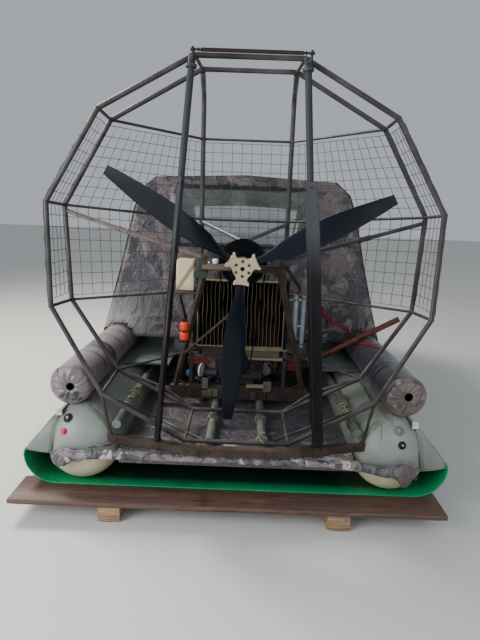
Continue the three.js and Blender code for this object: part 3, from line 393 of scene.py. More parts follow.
def green_finish(name):
    """Glossy green skin, scratched along the boat, with painted shade darkening it inside the stern under the floor."""
    paint = Paint(name, coat_weight=0.6, coat_roughness=0.12)
    soil = paint.cloud(3, 8, 0.65, 0.4, paint.stretched(1, 0.35, 1))
    skin = paint.shades(soil, "green", 0.55, 1.25, (0.28, 0.5, 0.8))
    scratches = paint.ramp(paint.cloud(60, 4, 0.7, 0, paint.stretched(6, 0.15, 6)), ((0.6, 0.0), (0.72, 1.0)))
    skin = paint.mixed(paint.level(scratches, 0, 0.3), skin, tint("8fb59a"))
    # Painted shade: faces that look up inside the stern, away from the outer ends, are darkened almost to black where
    # the floor shades them.
    place = paint.split()
    inside = paint.level(place["Y"], 0, 1, STERN - 0.06, STERN + 0.02)
    middle = paint.level(paint.maths("ABSOLUTE", place["X"]), 1, 0.35, 0.84, 0.98)
    stern_shade = paint.maths("MULTIPLY", paint.maths("MULTIPLY", inside, middle), paint.upward(0.1, 0.5))
    skin = paint.mixed(paint.level(stern_shade, 0, 0.93), skin, tint("0a1411"))
    return paint.wear(skin, paint.spread(soil, 0.34, 0.2), paint.bump(paint.cloud(2.4, 2), 0.3, 8))


def wood_finish(name, base, wet):
    """Sawn wood with grain, rings and dark knots."""
    paint = Paint(name, coat_weight=wet, coat_roughness=0.45)
    grain = paint.cloud(5, 9, 0.62, 1.6, paint.stretched(0.9, 9, 9))
    rings = paint.bands(5.5, 5.5, "Z", paint.stretched(0.22, 3.2, 3.2))
    wood = paint.shades(grain, base, 0.35, 1.7, (0.25, 0.5, 0.78))
    wood = paint.darkened(0.45, wood, rings, 0.5, 0.2, 0.8)
    cells = paint.node("ShaderNodeTexVoronoi", {"Vector": paint.stretched(0.5, 3, 3), "Scale": 2.6})
    knots = paint.ramp(cells.outputs["Distance"], ((0.03, 1.0), (0.12, 0.0)))
    wood = paint.mixed(knots, wood, tint(base, 0.22))
    return paint.wear(wood, paint.spread(grain, 0.5, 0.8), paint.bump(grain, 0.6, 1.4, paint.bump(rings, 0.25, 0.8)))


def board_finish(name):
    """Grey painted plywood with its grain along the boat."""
    paint = Paint(name)
    grain = paint.cloud(6, 8, 0.6, 1.0, paint.stretched(8, 0.8, 8))
    soil = paint.cloud(5, 7, 0.65)
    board = paint.shades(soil, "deck", 0.55, 1.3, (0.3, 0.55, 0.8))
    board = paint.darkened(0.35, board, grain, 0.55)
    return paint.wear(board, paint.spread(soil, 0.75, 0.5), paint.bump(grain, 0.5, 0.6))


def tank_finish(name):
    """Milky plastic with a painted brown reflection that runs down it aslant."""
    paint = Paint(name)
    soil = paint.cloud(6, 6, 0.6)
    plastic = paint.shades(soil, "tank", 0.8, 1.05, (0.3, 0.6, 0.8))
    # Painted reflection: a thin brown band runs aslant across the tank.
    place = paint.split()
    across = paint.maths("MULTIPLY_ADD", place["X"], 0.832, 0.832 * 0.337 + 0.555 * 1.254)
    off = paint.maths("ABSOLUTE", paint.maths("MULTIPLY_ADD", place["Z"], -0.555, across))
    plastic = paint.mixed(paint.level(off, 0.85, 0, 0.008, 0.016), plastic, tint("8a6f50"))
    return paint.wear(plastic, paint.spread(soil, 0.42, 0.3), paint.bump(paint.cloud(180, 2), 0.3, 0.2))


def fin_finish(name):
    """Corroded radiator fins, with a paler patch of painted sunlight low on the starboard side."""
    paint = Paint(name, metallic=0.35)
    soil = paint.cloud(14, 6, 0.65)
    broad = paint.cloud(5, 3, 0.5, 0.6)
    fins = paint.ramp(soil, ((0.3, tint("fins", 0.25)), (0.5, tint("fins", 0.6)), (0.75, tint("fins"))))
    # Painted light: a sunlit patch on the starboard side of the radiator, mixed towards pale brown.
    right = paint.level(paint.split()["X"], 0, 1, 0.02, 0.12)
    patch = paint.maths("MULTIPLY", right, paint.ramp(broad, ((0.46, 0.0), (0.6, 1.0))))
    fins = paint.mixed(paint.level(patch, 0, 0.75), fins, tint("8a6848"))
    return paint.wear(fins, paint.spread(soil, 0.75, 0.5), paint.bump(soil, 0.5, 0.8))


def rust_finish(name):
    """Flaking rust from black brown to orange."""
    paint = Paint(name, metallic=0.3)
    scale = paint.cloud(26, 9, 0.7, 0.5)
    rust = paint.ramp(scale, ((0.3, tint("2a1b19")), (0.48, tint("rust")), (0.62, tint("7a4431")),
                              (0.8, tint("a8714c"))))
    return paint.wear(rust, paint.spread(scale, 0.45, 0.85), paint.bump(scale, 0.7, 0.7))


def rope_finish(name):
    """Laid rope, its strands aslant."""
    paint = Paint(name, sheen_weight=0.2)
    lay = paint.bands(150, 1.5, "DIAGONAL")
    soil = paint.cloud(60, 4, 0.6)
    rope = paint.ramp(soil, ((0.3, tint("rope", 0.6)), (0.7, tint("rope", 1.3))))
    rope = paint.darkened(0.5, rope, lay, 0.45, 0.1)
    return paint.wear(rope, None, paint.bump(lay, 0.8, 1.2))


def seat_finish(name):
    """Woven cover of the bench cushions."""
    paint = Paint(name, sheen_weight=0.25)
    soil = paint.cloud(8, 6, 0.6)
    threads = paint.mixed(0.5, paint.bands(300, 0.3, "X"), paint.bands(300, 0.3, "Y"))
    cloth = paint.ramp(soil, ((0.3, tint("seat", 0.65)), (0.7, tint("seat", 1.2))))
    cloth = paint.darkened(0.3, cloth, threads, 0.5, 0.1, 0.8)
    return paint.wear(cloth, paint.level(soil, 0.7, 0.9), paint.bump(threads, 0.35, 0.5, paint.bump(soil, 0.3, 3)))


def film_finish(name):
    """Clear film, hazy and slightly waved."""
    paint = Paint(name, alpha=0.42, coat_weight=0.6, coat_roughness=0.08)
    soil = paint.cloud(5, 6, 0.6, 0.8)
    film = paint.ramp(soil, ((0.3, tint("5f6d68")), (0.6, tint("8d9a94")), (0.8, tint("b4bdb8"))))
    return paint.wear(film, paint.spread(soil, 0.12, 0.3), paint.bump(paint.cloud(6, 4, 0.6, 1.4), 0.6, 7))


def floor_finish(name):
    """Pale floor of the stage, plain with a faint grain."""
    paint = Paint(name, roughness=0.9)
    fine = paint.cloud(140, 4)
    floor = paint.ramp(fine, ((0.2, tint("c9c8c4")), (0.8, tint("d3d2ce"))))
    return paint.wear(floor, None, paint.bump(fine, 0.1, 0.5))


# Finishes with a recipe of their own
SPECIAL = {
    "tube_fabric": (tube_finish, "pvc"), "tube_cream": (tube_finish, "cream"), "flap_fabric": (flap_finish,),
    "green_skin": (green_finish,), "plank_wood": (wood_finish, "plank", 0.25),
    "block_wood": (wood_finish, "block", 0.0),
    "grey_board": (board_finish,), "radiator_fins": (fin_finish,), "tank_plastic": (tank_finish,),
    "rusty_pipe": (rust_finish,), "rope": (rope_finish,), "seat_cloth": (seat_finish,), "clear_film": (film_finish,),
    "stage_floor": (floor_finish,)}


def finish(name):
    """The finish of that name, made when it is first asked for."""
    if name + "_finish" in bpy.data.materials:
        return bpy.data.materials[name + "_finish"]
    if name in PLAIN:
        return plain_finish(name, *PLAIN[name])
    if name in CAMO:
        return camo_finish(name, *CAMO[name])
    make, *values = SPECIAL[name]
    return make(name, *values)


def at(x, y, z):
    """A point given in millimetres from the rear ring and the ground, in the row's metres."""
    return Vector((x / 1000, STERN + y / 1000, z / 1000))


def between(a, b, t):
    """The point that lies the share t of the way from a to b."""
    return tuple(p + (q - p) * t for p, q in zip(a, b))


def along(line, step):
    """Points spread evenly along a line of corners, about step apart, with every corner kept."""
    out = []
    for a, b in zip(line, line[1:]):
        count = max(1, round((Vector(b) - Vector(a)).length / step))
        out.extend(between(a, b, i / count) for i in range(count))
    return [*out, tuple(line[-1])]


def curved(corners, steps):
    """Smooth line through corners, in steps from each to the next."""
    line = []
    for i in range(len(corners) - 1):
        p0, p1, p2, p3 = (Vector(corners[max(0, min(len(corners) - 1, i + d))]) for d in (-1, 0, 1, 2))
        for k in range(steps):
            t = k / steps
            line.append(0.5 * (2 * p1 + (p2 - p0) * t + (2 * p0 - 5 * p1 + 4 * p2 - p3) * t * t
                               + (3 * p1 - p0 - 3 * p2 + p3) * t ** 3))
    return [*line, Vector(corners[-1])]


def turns(count, shift=0):
    """Angles spread evenly round a full turn."""
    return [(k + shift) * 2 * math.pi / count for k in range(count)]


def uneven(x, y, z=0.0):
    """Smooth uneven value from about -1 to 1, always the same at a place."""
    return noise.noise(Vector((x, y, z)))


def clamped(value, low=0.0, high=1.0):
    """The value, kept between low and high."""
    return max(low, min(high, value))


def modifier(piece, name, kind, **values):
    """A new modifier of a piece with its values set."""
    made = piece.modifiers.new(name, kind)
    for key, value in values.items():
        setattr(made, key, value)
    return made


def rounded(x0, x1, y0, y1, r, z):
    """Level ring with rounded corners, whose middles lie at x0, x1, y0 and y1."""
    ring = []
    for x, y, first in ((x1, y1, 0), (x0, y1, 90), (x0, y0, 180), (x1, y0, 270)):
        for t in (math.radians(first + k * 22.5) for k in range(5)):
            ring.append((x + r * math.cos(t), y + r * math.sin(t), z))
    return ring


class Form:
    """Points and faces of one piece, in millimetres"""

    def __init__(self):
        self.points = []
        self.faces = []
        self.marks = []
        self.mark = 0

    def add(self, points, faces):
        """Adds points and faces with the mark in use."""
        base = len(self.points)
        self.points.extend(tuple(p) for p in points)
        self.faces.extend(tuple(base + i for i in face) for face in faces)
        self.marks.extend([self.mark] * len(faces))

    def rings(self, rings, closed=False, ends=True):
        """Skin through equal rings of points."""
        n = len(rings[0])
        count = len(rings)
        faces = []
        for i in range(count if closed else count - 1):
            a, b = i * n, ((i + 1) % count) * n
            faces.extend((a + k, a + (k + 1) % n, b + (k + 1) % n, b + k) for k in range(n))
        if ends and not closed:
            faces.append(tuple(reversed(range(n))))
            faces.append(tuple(range((count - 1) * n, count * n)))
        self.add([p for ring in rings for p in ring], faces)

    def cloth(self, rows, keep=lambda a, b: True):
        """Open sheet through rows of points; keep says which faces stay."""
        n = len(rows[0])
        faces = []
        for j in range(len(rows) - 1):
            for i in range(n - 1):
                if keep(rows[j][i], rows[j + 1][i + 1]):
                    faces.append((j * n + i, j * n + i + 1, (j + 1) * n + i + 1, (j + 1) * n + i))
        self.add([p for row in rows for p in row], faces)

    def tube(self, line, r, sides=16, closed=False, ends=True):
        """Round tube along a line, mitred at each bend; r is one radius, or one for each point."""
        line = [Vector(p) for p in line]
        n = len(line)
        radii = r if isinstance(r, (list, tuple)) else [r] * n
        steps = [(line[(i + 1) % n] - line[i]).normalized() for i in range(n if closed else n - 1)]
        side = (steps[-1] if closed else steps[0]).orthogonal().normalized()
        rings = []
        for i, p in enumerate(line):
            way = steps[i - 1] if (i or closed) else steps[0]
            after = steps[i] if i < len(steps) else way
            bend = (way + after).normalized()
            side = (side - way * side.dot(way)).normalized()
            up = way.cross(side)
            ring = []
            for t in turns(sides, 0.5):
                out = (side * math.cos(t) + up * math.sin(t)) * radii[i]
                ring.append(p + out - way * (out.dot(bend) / way.dot(bend)))
            rings.append(ring)
        self.rings(rings, closed, ends)

    def turned(self, foot, way, profile, sides=24, ends=True, closed=False):
        """Turned piece about the line from foot along way; profile lists (distance along, radius)."""
        foot = Vector(foot)
        way = Vector(way).normalized()
        side = way.orthogonal().normalized()
        up = way.cross(side)
        self.rings([[foot + way * d + (side * math.cos(t) + up * math.sin(t)) * max(r, 0.01) for t in turns(sides)]
                    for d, r in profile], closed, ends)

    def collar(self, foot, way, inner, outer, depth, sides=24):
        """Short sleeve with softened outer edges."""
        e = min(1.5, depth / 4)
        profile = ((0, inner), (0, outer - e), (e, outer), (depth - e, outer), (depth, outer - e), (depth, inner))
        self.turned(foot, way, profile, sides, False, True)

    def hoop(self, centre, way, big, small, sides=20, round_=6):
        """Round ring, such as a weld bead."""
        profile = [(small * math.sin(a), big + small * math.cos(a)) for a in turns(round_)]
        self.turned(centre, way, profile, sides, False, True)

    def bolt(self, foot, way, r=6, head=5):
        """Washer with a six-sided head on it."""
        way = Vector(way).normalized()
        self.turned(foot, way, ((0, r * 1.45), (1.5, r * 1.45), (1.5, r * 1.2)), 16)
        self.turned(Vector(foot) + way * 1.5, way, ((0, r), (head * 0.8, r), (head, r * 0.85)), 6)

    def box(self, x0, x1, y0, y1, z0, z1):
        """Box between two corners."""
        corners = [(x, y, z) for x in sorted((x0, x1)) for y in (y0, y1) for z in (z0, z1)]
        self.add(corners, ((0, 1, 3, 2), (4, 6, 7, 5), (0, 4, 5, 1), (2, 3, 7, 6), (0, 2, 6, 4), (1, 5, 7, 3)))

    def bar(self, a, b, wide, high, up=(0, 0, 1)):
        """Square bar between two points."""
        a, b = Vector(a), Vector(b)
        way = (b - a).normalized()
        side = way.cross(Vector(up)).normalized()
        top = side.cross(way)
        corners = ((-1, -1), (1, -1), (1, 1), (-1, 1))
        self.rings([[p + side * (i * wide / 2) + top * (j * high / 2) for i, j in corners] for p in (a, b)])

    def strip(self, line, wide, high, up):
        """Row of square bars along a line."""
        for a, b in zip(line, line[1:]):
            self.bar(a, b, wide, high, up)

    def make(self, name, finishes, slot, stands_for=(), edge=35, bevel=0, thick=0, body="boat"):
        """Turns the form into a finished piece that rides on a body."""
        mesh = bpy.data.meshes.new(name)
        mesh.from_pydata([at(*p) for p in self.points], [], self.faces)
        for one in (finishes,) if isinstance(finishes, str) else finishes:
            mesh.materials.append(finish(one))
        mesh.polygons.foreach_set("material_index", self.marks)
        work = bmesh.new()
        work.from_mesh(mesh)
        bmesh.ops.remove_doubles(work, verts=work.verts, dist=2e-6)
        bmesh.ops.recalc_face_normals(work, faces=work.faces)
        work.to_mesh(mesh)
        work.free()
        mesh.shade_smooth()
        mesh.set_sharp_from_angle(angle=math.radians(edge))
        piece = bpy.data.objects.new(name, mesh)
        bpy.context.scene.collection.objects.link(piece)
        if thick:
            modifier(piece, "Thickness", "SOLIDIFY", thickness=thick / 1000, offset=0)
        if bevel:
            modifier(piece, "Rounded edges", "BEVEL", width=bevel / 1000, segments=2, limit_method="ANGLE",
                     angle_limit=math.radians(40), harden_normals=True)
        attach(piece, body)
        if stands_for:
            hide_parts(*((stands_for,) if isinstance(stands_for, str) else stands_for))
        return piece


def ring_line(half, y):
    """Corners of a cage ring at y, from its starboard half."""
    right = [(x, y, CAGE + h) for x, h in half]
    return right + [(-x, y, z) for x, y, z in reversed(right)]


def post_at(z, side=1):
    """Point of a leaning rudder post at a height."""
    t = (z - 418) / (2340 - 418)
    return (side * (428 + (267.7 - 428) * t), -78 + 25.6 * t, z)


class AIRBOAT_OT_stage(bpy.types.Operator):
    """Pale floor, soft studio light and the camera at the photograph's place"""
    bl_idname = "airboat.stage"
    bl_label = "Stage"

    def execute(self, context):
        form = Form()
        form.add([(-30000, -9000, 0), (30000, -9000, 0), (30000, 45000, 0), (-30000, 45000, 0)], [(0, 1, 2, 3)])
        mesh = bpy.data.meshes.new("stage_floor")
        mesh.from_pydata([at(*p) - Vector((0, 0, 0.001)) for p in form.points], [], form.faces)
        mesh.materials.append(finish("stage_floor"))
        floor = bpy.data.objects.new("stage_floor", mesh)
        context.scene.collection.objects.link(floor)
        world = bpy.data.worlds.new("soft_sky")
        world.use_nodes = True
        back = next(n for n in world.node_tree.nodes if n.type == "BACKGROUND")
        back.inputs["Color"].default_value = (0.86, 0.93, 1.0, 1)
        back.inputs["Strength"].default_value = 0.5
        context.scene.world = world
        for name, place, aim, power, width, tint in (
                ("key_light", (-4200, 2600, 5600), (0, 600, 900), 620, 2.2, (1.0, 0.95, 0.86)),
                ("fill_light", (2600, -4200, 3600), (0, 200, 1100), 75, 4.0, (0.88, 0.94, 1.0)),
                ("rear_fill", (-3700, -3000, 2300), (-300, 0, 900), 240, 3.0, (0.96, 0.97, 1.0))):
            lamp = bpy.data.lights.new(name, "AREA")
            lamp.energy = power
            lamp.size = width
            lamp.color = tint
            holder = bpy.data.objects.new(name, lamp)
            holder.location = at(*place)
            holder.rotation_euler = (at(*aim) - at(*place)).to_track_quat("-Z", "Y").to_euler()
            context.scene.collection.objects.link(holder)
        lens = bpy.data.cameras.new("camera")
        lens.sensor_fit = "HORIZONTAL"
        lens.sensor_width = 36
        lens.lens = 36
        lens.clip_end = 200
        camera = bpy.data.objects.new("camera", lens)
        yaw, pitch, roll = (math.radians(a) for a in (0.30, -12.26, -2.08))
        ahead = Vector((-math.sin(yaw) * math.cos(pitch), math.cos(yaw) * math.cos(pitch), math.sin(pitch)))
        level = Vector((math.cos(yaw), math.sin(yaw), 0))
        above = level.cross(ahead)
        right = level * math.cos(roll) - above * math.sin(roll)
        up = level * math.sin(roll) + above * math.cos(roll)
        columns = (right, up, -ahead, at(10, -2478, 1619))
        camera.matrix_world = Matrix([[c[i] for c in columns] for i in range(3)] + [[0, 0, 0, 1]])
        context.scene.collection.objects.link(camera)
        context.scene.camera = camera
        return {"FINISHED"}


class AIRBOAT_OT_cage(bpy.types.Operator):
    """Welded propeller cage: two rings, cross tubes, truss and engine basket"""
    bl_idname = "airboat.cage"
    bl_label = "Propeller cage"

    def execute(self, context):
        bead = size("bead_size")
        rear, front = ring_line(REAR_HALF, 0), ring_line(FRONT_HALF, 300)
        form = Form()
        form.tube(rear, 13, 20, True)
        self.corner_beads(form, rear, bead)
        for _, s in SIDES:
            low, high = Vector(post_at(2282, s)), Vector(post_at(2298, s))
            form.collar(low, high - low, 17.9, 27, 16)
            eye = Vector(post_at(2290, s)) + Vector((0, 22, 0))
            form.bar(eye, (s * 262, -4, 2345), 15, 13, (1, 0, 0))
        form.make("cage_rear_ring_tube", "cage_steel", "frame_steel", "cage_rear_ring")
        form = Form()
        form.tube(front, 13, 20, True)
        self.corner_beads(form, front, bead)
        for a, b in zip(rear, front):
            self.strut(form, a, b, 9, bead, 13, 13)
        form.make("cage_front_ring_tube", "cage_steel", "frame_steel", "cage_front_ring")
        truss = (((735, 300, 680), (455, 300, 580)), ((455, 300, 580), (276, 300, 448)),
                 ((455, 300, 580), (455, 180, 418)),
                 ((748, 0, 638), (455, 180, 418)), ((455, 180, 418), (180, 0, 384)))
        for side, s in SIDES:
            form = Form()
            for a, b in truss:
                self.strut(form, (s * a[0], *a[1:]), (s * b[0], *b[1:]), 8, bead * 0.8, 0, 0)
            form.make("lower_truss_rods_" + side, "cage_steel", "frame_steel", "lower_truss_" + side)
        form = Form()
        for _, s in SIDES:
            bend = [(s * (286 + 4 * math.sin(t)), 772 + 68 * math.sin(t), CAGE + 912 + 80 * math.cos(t))
                    for t in (math.radians(a) for a in range(0, 91, 10))]
            line = [(s * 252, 311, CAGE + 994), (s * 268, 520, CAGE + 1000), *bend, (s * 290, 840, 449.6)]
            form.tube(line, 16, 20)
            form.turned((s * 290, 840, 450), (0, 0, 1), ((0, 34), (6, 34), (6, 19), (14, 17)), 20)
            form.hoop((s * 253, 316, CAGE + 994), (0.1, 1, 0), 16.5, bead)
            for x, h, hb in ((747, 724, 720), (1018, 264, 207), (1000, -278, -280), (735, -700, -700)):
                self.strut(form, (s * x, 300, CAGE + h), (s * 290, 840, CAGE + hb), 8, bead, 13, 16)
        for h in (720, 207, -280):
            self.strut(form, (-290, 840, CAGE + h), (290, 840, CAGE + h), 8, bead, 16, 16)
        form.make("cage_basket_bars", "cage_steel", "frame_steel", "cage_basket")
        return {"FINISHED"}

    def corner_beads(self, form, line, bead):
        """Weld bead round each corner of a ring."""
        n = len(line)
        for i, p in enumerate(line):
            way = (Vector(p) - Vector(line[i - 1])).normalized() + (Vector(line[(i + 1) % n]) - Vector(p)).normalized()
            form.hoop(p, way, 13.6, bead, 24)

    def strut(self, form, a, b, r, bead, gap_a, gap_b):
        """Thin tube welded between two others, whose radii are gap_a and gap_b."""
        way = (Vector(b) - Vector(a)).normalized()
        form.tube([a, b], r, 14)
        form.hoop(Vector(a) + way * gap_a, way, r + 1, bead, 16)
        form.hoop(Vector(b) - way * gap_b, way, r + 1, bead, 16)


class AIRBOAT_OT_nets(bpy.types.Operator):
    """Fine guard nets over the side bands and the engine basket"""
    bl_idname = "airboat.nets"
    bl_label = "Guard nets"

    def execute(self, context):
        for side, s in SIDES:
            rear = [(s * x, 0, CAGE + h) for x, h in ((759, 702), (1018, 278), (1018, -235))]
            front = [(s * x, 300, CAGE + h) for x, h in ((777, 702), (1033, 267), (1016, -235))]
            self.net("band_wires_" + side, rear, front, "band_net_" + side)
            ring = [(s * x, 314, CAGE + h) for x, h in ((763, 697), (1018, 264), (1001, -255))]
            bar = [(s * 303, 852, CAGE + h) for h in (700, 225, -255)]
            self.net("basket_wires_" + side, ring, bar, "basket_net_" + side)
        port = [(-290, 857, CAGE + h) for h in (700, 222, -265)]
        self.net("basket_wires_middle", port, [(-x, y, z) for x, y, z in port], "basket_net_middle")
        return {"FINISHED"}

    def net(self, name, line, other, node):
        """Net between two lines of corners, its outer wires hooked round the tubes beside them."""
        pitch, r = size("net_pitch"), size("wire_size")
        form = Form()
        counts = [max(2, round((Vector(b) - Vector(a)).length / pitch)) for a, b in zip(line, line[1:])]
        rows = []
        for i, count in enumerate(counts):
            for k in range(count + (i == len(counts) - 1)):
                rows.append((between(line[i], line[i + 1], k / count), between(other[i], other[i + 1], k / count)))
        width = max((Vector(b) - Vector(a)).length for a, b in rows)
        across = max(2, round(width / pitch))
        grid = [[Vector(between(a, b, k / across)) for k in range(across + 1)] for a, b in rows]
        out = (grid[-1][0] - grid[0][0]).cross(grid[0][-1] - grid[0][0]).normalized()
        for j, row in enumerate(grid):
            form.tube(self.woven(row, out, r, j), r, 5)
        for i in range(across + 1):
            form.tube(self.woven([row[i] for row in grid], out, r, i + 1), r, 5)
        for row in grid:
            for end, way in ((row[0], row[1] - row[0]), (row[-1], row[-2] - row[-1])):
                form.tube([end, end - way.normalized() * 6, end - way.normalized() * 6 - out * 5], r, 5)
        form.make(name, "net_wire", "wire", node, 60)

    def woven(self, points, out, r, turn):
        """Wire that passes over and under those it crosses."""
        line = []
        for i, p in enumerate(points):
            line.append(p + out * (r * (1 if (i + turn) % 2 else -1)))
            if i < len(points) - 1:
                line.append((p + points[i + 1]) / 2)
        return line


class AIRBOAT_OT_stern_beam(bpy.types.Operator):
    """Bent angle bar across the stern with its hangers and pivot bolts"""
    bl_idname = "airboat.stern_beam"
    bl_label = "Stern beam"

    def execute(self, context):
        form = Form()
        line = ((-705, -48, 425, 16), (-410, -105, 412, 44), (-200, -140, 404, 44), (200, -140, 404, 44),
                (410, -105, 412, 44), (705, -48, 425, 16))
        form.rings([[(x, y, z), (x, y + b, z), (x, y + b, z - 5), (x, y + 5, z - 5), (x, y + 5, z - 46),
                     (x, y, z - 46)] for x, y, z, b in line])
        for s in (-1, 1):
            form.tube([(s * 748, 0, CAGE - 742), (s * 712, -28, CAGE - 880), (s * 690, -38, 422)], 8, 14)
            form.hoop((s * 745, -2, CAGE - 756), (s * 0.2, 0.1, 1), 9, 2.4)
            form.hoop((s * 690, -38, 427), (0, 0, 1), 9, 2.4)
            for x, y, z in ((410, -105, 412), (200, -140, 404)):
                form.tube([(s * x, y - 0.5, z - 1), (s * x, y - 0.5, z - 46)], 2.6, 8)
            form.bolt((s * 455, -95.5, 392), (0.15 * s, -1, 0), 7, 6)
            form.bolt((s * 655, -57.5, 400), (0.15 * s, -1, 0), 7, 6)
            form.bolt((s * 150, -140.5, 384), (0, -1, 0), 7, 6)
        form.make("stern_beam_angle", "brown_steel", "brown_steel", "stern_beam", bevel=0.8)
        return {"FINISHED"}


class AIRBOAT_OT_propeller(bpy.types.Operator):
    """Three composite blades in a clamped hub, the shaft and its toothed pulley"""
    bl_idname = "airboat.propeller"
    bl_label = "Propeller"
    stations = ((92, 22, 22, 30, 42), (125, 24, 25, 26, 39), (170, 32, 36, 21, 36), (260, 52, 62, 17, 30),
                (400, 66, 72, 14, 24),
                (540, 62, 72, 12, 19), (680, 51, 57, 10, 15.5), (800, 36, 42, 7.5, 13), (868, 27, 31, 5, 12),
                (884, 25, 29, 3, 12))

    def execute(self, context):
        radii = (92, 104, 118, 136, 158, 184, *range(214, 850, 28), 850, 868, 880, 884)
        for letter, angle in BLADES:
            form = Form()
            form.rings([[self.spun(p, angle) for p in self.section(r)] for r in radii])
            form.make("blade_" + letter, "blade_composite", "blade_composite", "prop_blade_" + letter, 50,
                      body="propeller")
        form = Form()
        self.star(form, 92.4, 110)
        self.star(form, 146, 162)
        form.turned((0, 108, HUB), (0, 1, 0), ((0, 20), (0, 46), (40, 46), (64, 40), (114, 38), (114, 20),
                                               (279.4, 19.7)), 40)
        mid = Vector((0, PROP_Y, HUB))
        for _, angle in BLADES:
            way = (Vector(self.spun((100, PROP_Y, HUB), angle)) - mid).normalized()
            form.turned(mid + way * 30, way, ((0, 24), (4, 27), (30, 27), (32, 29), (54, 29), (57, 26), (59, 20)), 28)
        form.mark = 1
        form.turned((0, 92.1, HUB), (0, 1, 0), ((0.6, 11), (0, 12.5)), 30)
        form.mark = 2
        for a in turns(6, 0.5):
            form.bolt((40 * math.cos(a), 92.2, HUB + 40 * math.sin(a)), (0, -1, 0), 6, 4)
        form.make("prop_hub_clamp", ("hub_alloy", "belt_rubber", "bolt_bronze"), "hub_alloy", "prop_hub", 40, 0.8,
                  body="propeller")
        self.pulley("upper_pulley", "propeller", HUB, 137, 20, 484, "drive_pulley_upper")
        self.pulley("lower_pulley", "crank_pulley", CRANK, 62, 26, 621, "drive_pulley_lower")
        self.belt()
        return {"FINISHED"}

    def star(self, form, y0, y1):
        """Machined plate with an arm for each blade and two ears at the end of each arm."""
        outline = []
        for _, angle in BLADES:
            t = math.radians(angle)
            arm = [(55 * math.cos(math.radians(v)), 55 * math.sin(math.radians(v))) for v in (-56, -46, -38)]
            arm += [(58, -29), (67, -31), (74, -37), (78, -42), (85, -44), (90, -42), (91, -37), (87, -29), (85.5, 0)]
            arm += [(u, -v) for u, v in reversed(arm[:-1])]
            outline += [(u * math.cos(t) - v * math.sin(t), HUB + u * math.sin(t) + v * math.cos(t)) for u, v in arm]
        form.rings([[(x * e, y, HUB + (z - HUB) * e) for x, z in outline]
                    for y, e in ((y0, 0.985), (y0 + 1.2, 1.0), (y1 - 1.2, 1.0), (y1, 0.985))])

    def section(self, r):
        """Airfoil section of the blade pointing along +x, at a radius."""
        for low, high in zip(self.stations, self.stations[1:]):
            if low[0] <= r <= high[0]:
                break
        t = (r - low[0]) / (high[0] - low[0])
        soft = t * t * (3 - 2 * t) if r < 260 else t
        ahead, behind, thick, twist = (low[i] + (high[i] - low[i]) * soft for i in (1, 2, 3, 4))
        turn = math.radians(twist)
        flat = clamped((r - 100) / 110)
        points = []
        for a in turns(28):
            c = math.cos(a)
            chord = c * (ahead if c > 0 else behind)
            swell = 1 - 0.35 * flat * (1 - c) / 2
            rise = math.sin(a) * thick * 0.5 * (swell if math.sin(a) > 0 else swell * (1 - 0.3 * flat))
            points.append((r, PROP_Y + chord * math.sin(turn) + rise * math.cos(turn),
                           HUB + chord * math.cos(turn) - rise * math.sin(turn)))
        return points

    def spun(self, p, degrees):
        """A point turned round the shaft."""
        t = math.radians(degrees)
        x, z = p[0], p[2] - HUB
        return (x * math.cos(t) - z * math.sin(t), p[1], HUB + x * math.sin(t) + z * math.cos(t))

    def pulley(self, name, body, z, r, shaft, end, node):
        """Toothed pulley with a web, spokes and its shaft; the big one has wider spokes and more teeth."""
        form = Form()
        big = r > 100
        rim, along_y = Vector((0, 388, z)), (0, 1, 0)
        form.turned(rim, along_y, ((0, r - 14), (0, r), (4, r), (5, r - 3), (29, r - 3), (30, r), (34, r),
                                   (34, r - 14)),
                    72, False, True)
        form.turned(rim, along_y, ((0.5, shaft + 26), (0.5, 1), (12, 1), (12, shaft + 26)), 32, False, True)
        form.turned((0, 400, z), along_y, ((0, shaft), (end - 401, shaft), (end - 400, shaft - 2)), 28)
        form.turned((0, 402, z), along_y, ((0, shaft + 1), (0, r - 13), (4, r - 13), (4, shaft + 1)), 60, False, True)
        middle = Vector((0, 403, z))
        for a in turns(6 if big else 4):
            out = Vector((math.cos(a), 0, math.sin(a)))
            form.bar(middle + out * (shaft + 16), middle + out * (r - 10), 34 if big else 18, 12, along_y)
        for a in turns(60 if big else 28):
            out = Vector((math.cos(a), 0, math.sin(a)))
            form.bar(Vector((0, 394, z)) + out * (r - 2), Vector((0, 417, z)) + out * (r - 2), 5, 3, out)
        form.make(name, "pulley_dark", "pulley_dark" if big else "pulley_bright", node, 30, body=body)

    def belt(self):
        """Toothed belt round both pulleys, its edges rounded."""
        lean = math.asin((137 - 62) / (HUB - CRANK))
        line = [(-lean + k / 48 * (math.pi + 2 * lean), 137, HUB) for k in range(49)]
        line += [(math.pi + lean + k / 24 * (math.pi - 2 * lean), 62, CRANK) for k in range(25)]
        edge = ((1.2, 393), (8.5, 392.4), (9, 404), (8.5, 415.6), (1.2, 415), (1, 404))
        form = Form()
        form.rings([[(math.cos(t) * (r + g), y, z + math.sin(t) * (r + g)) for g, y in edge] for t, r, z in line],
                   True)
        form.make("drive_belt_band", "belt_rubber", "belt_rubber", "drive_belt", 50)


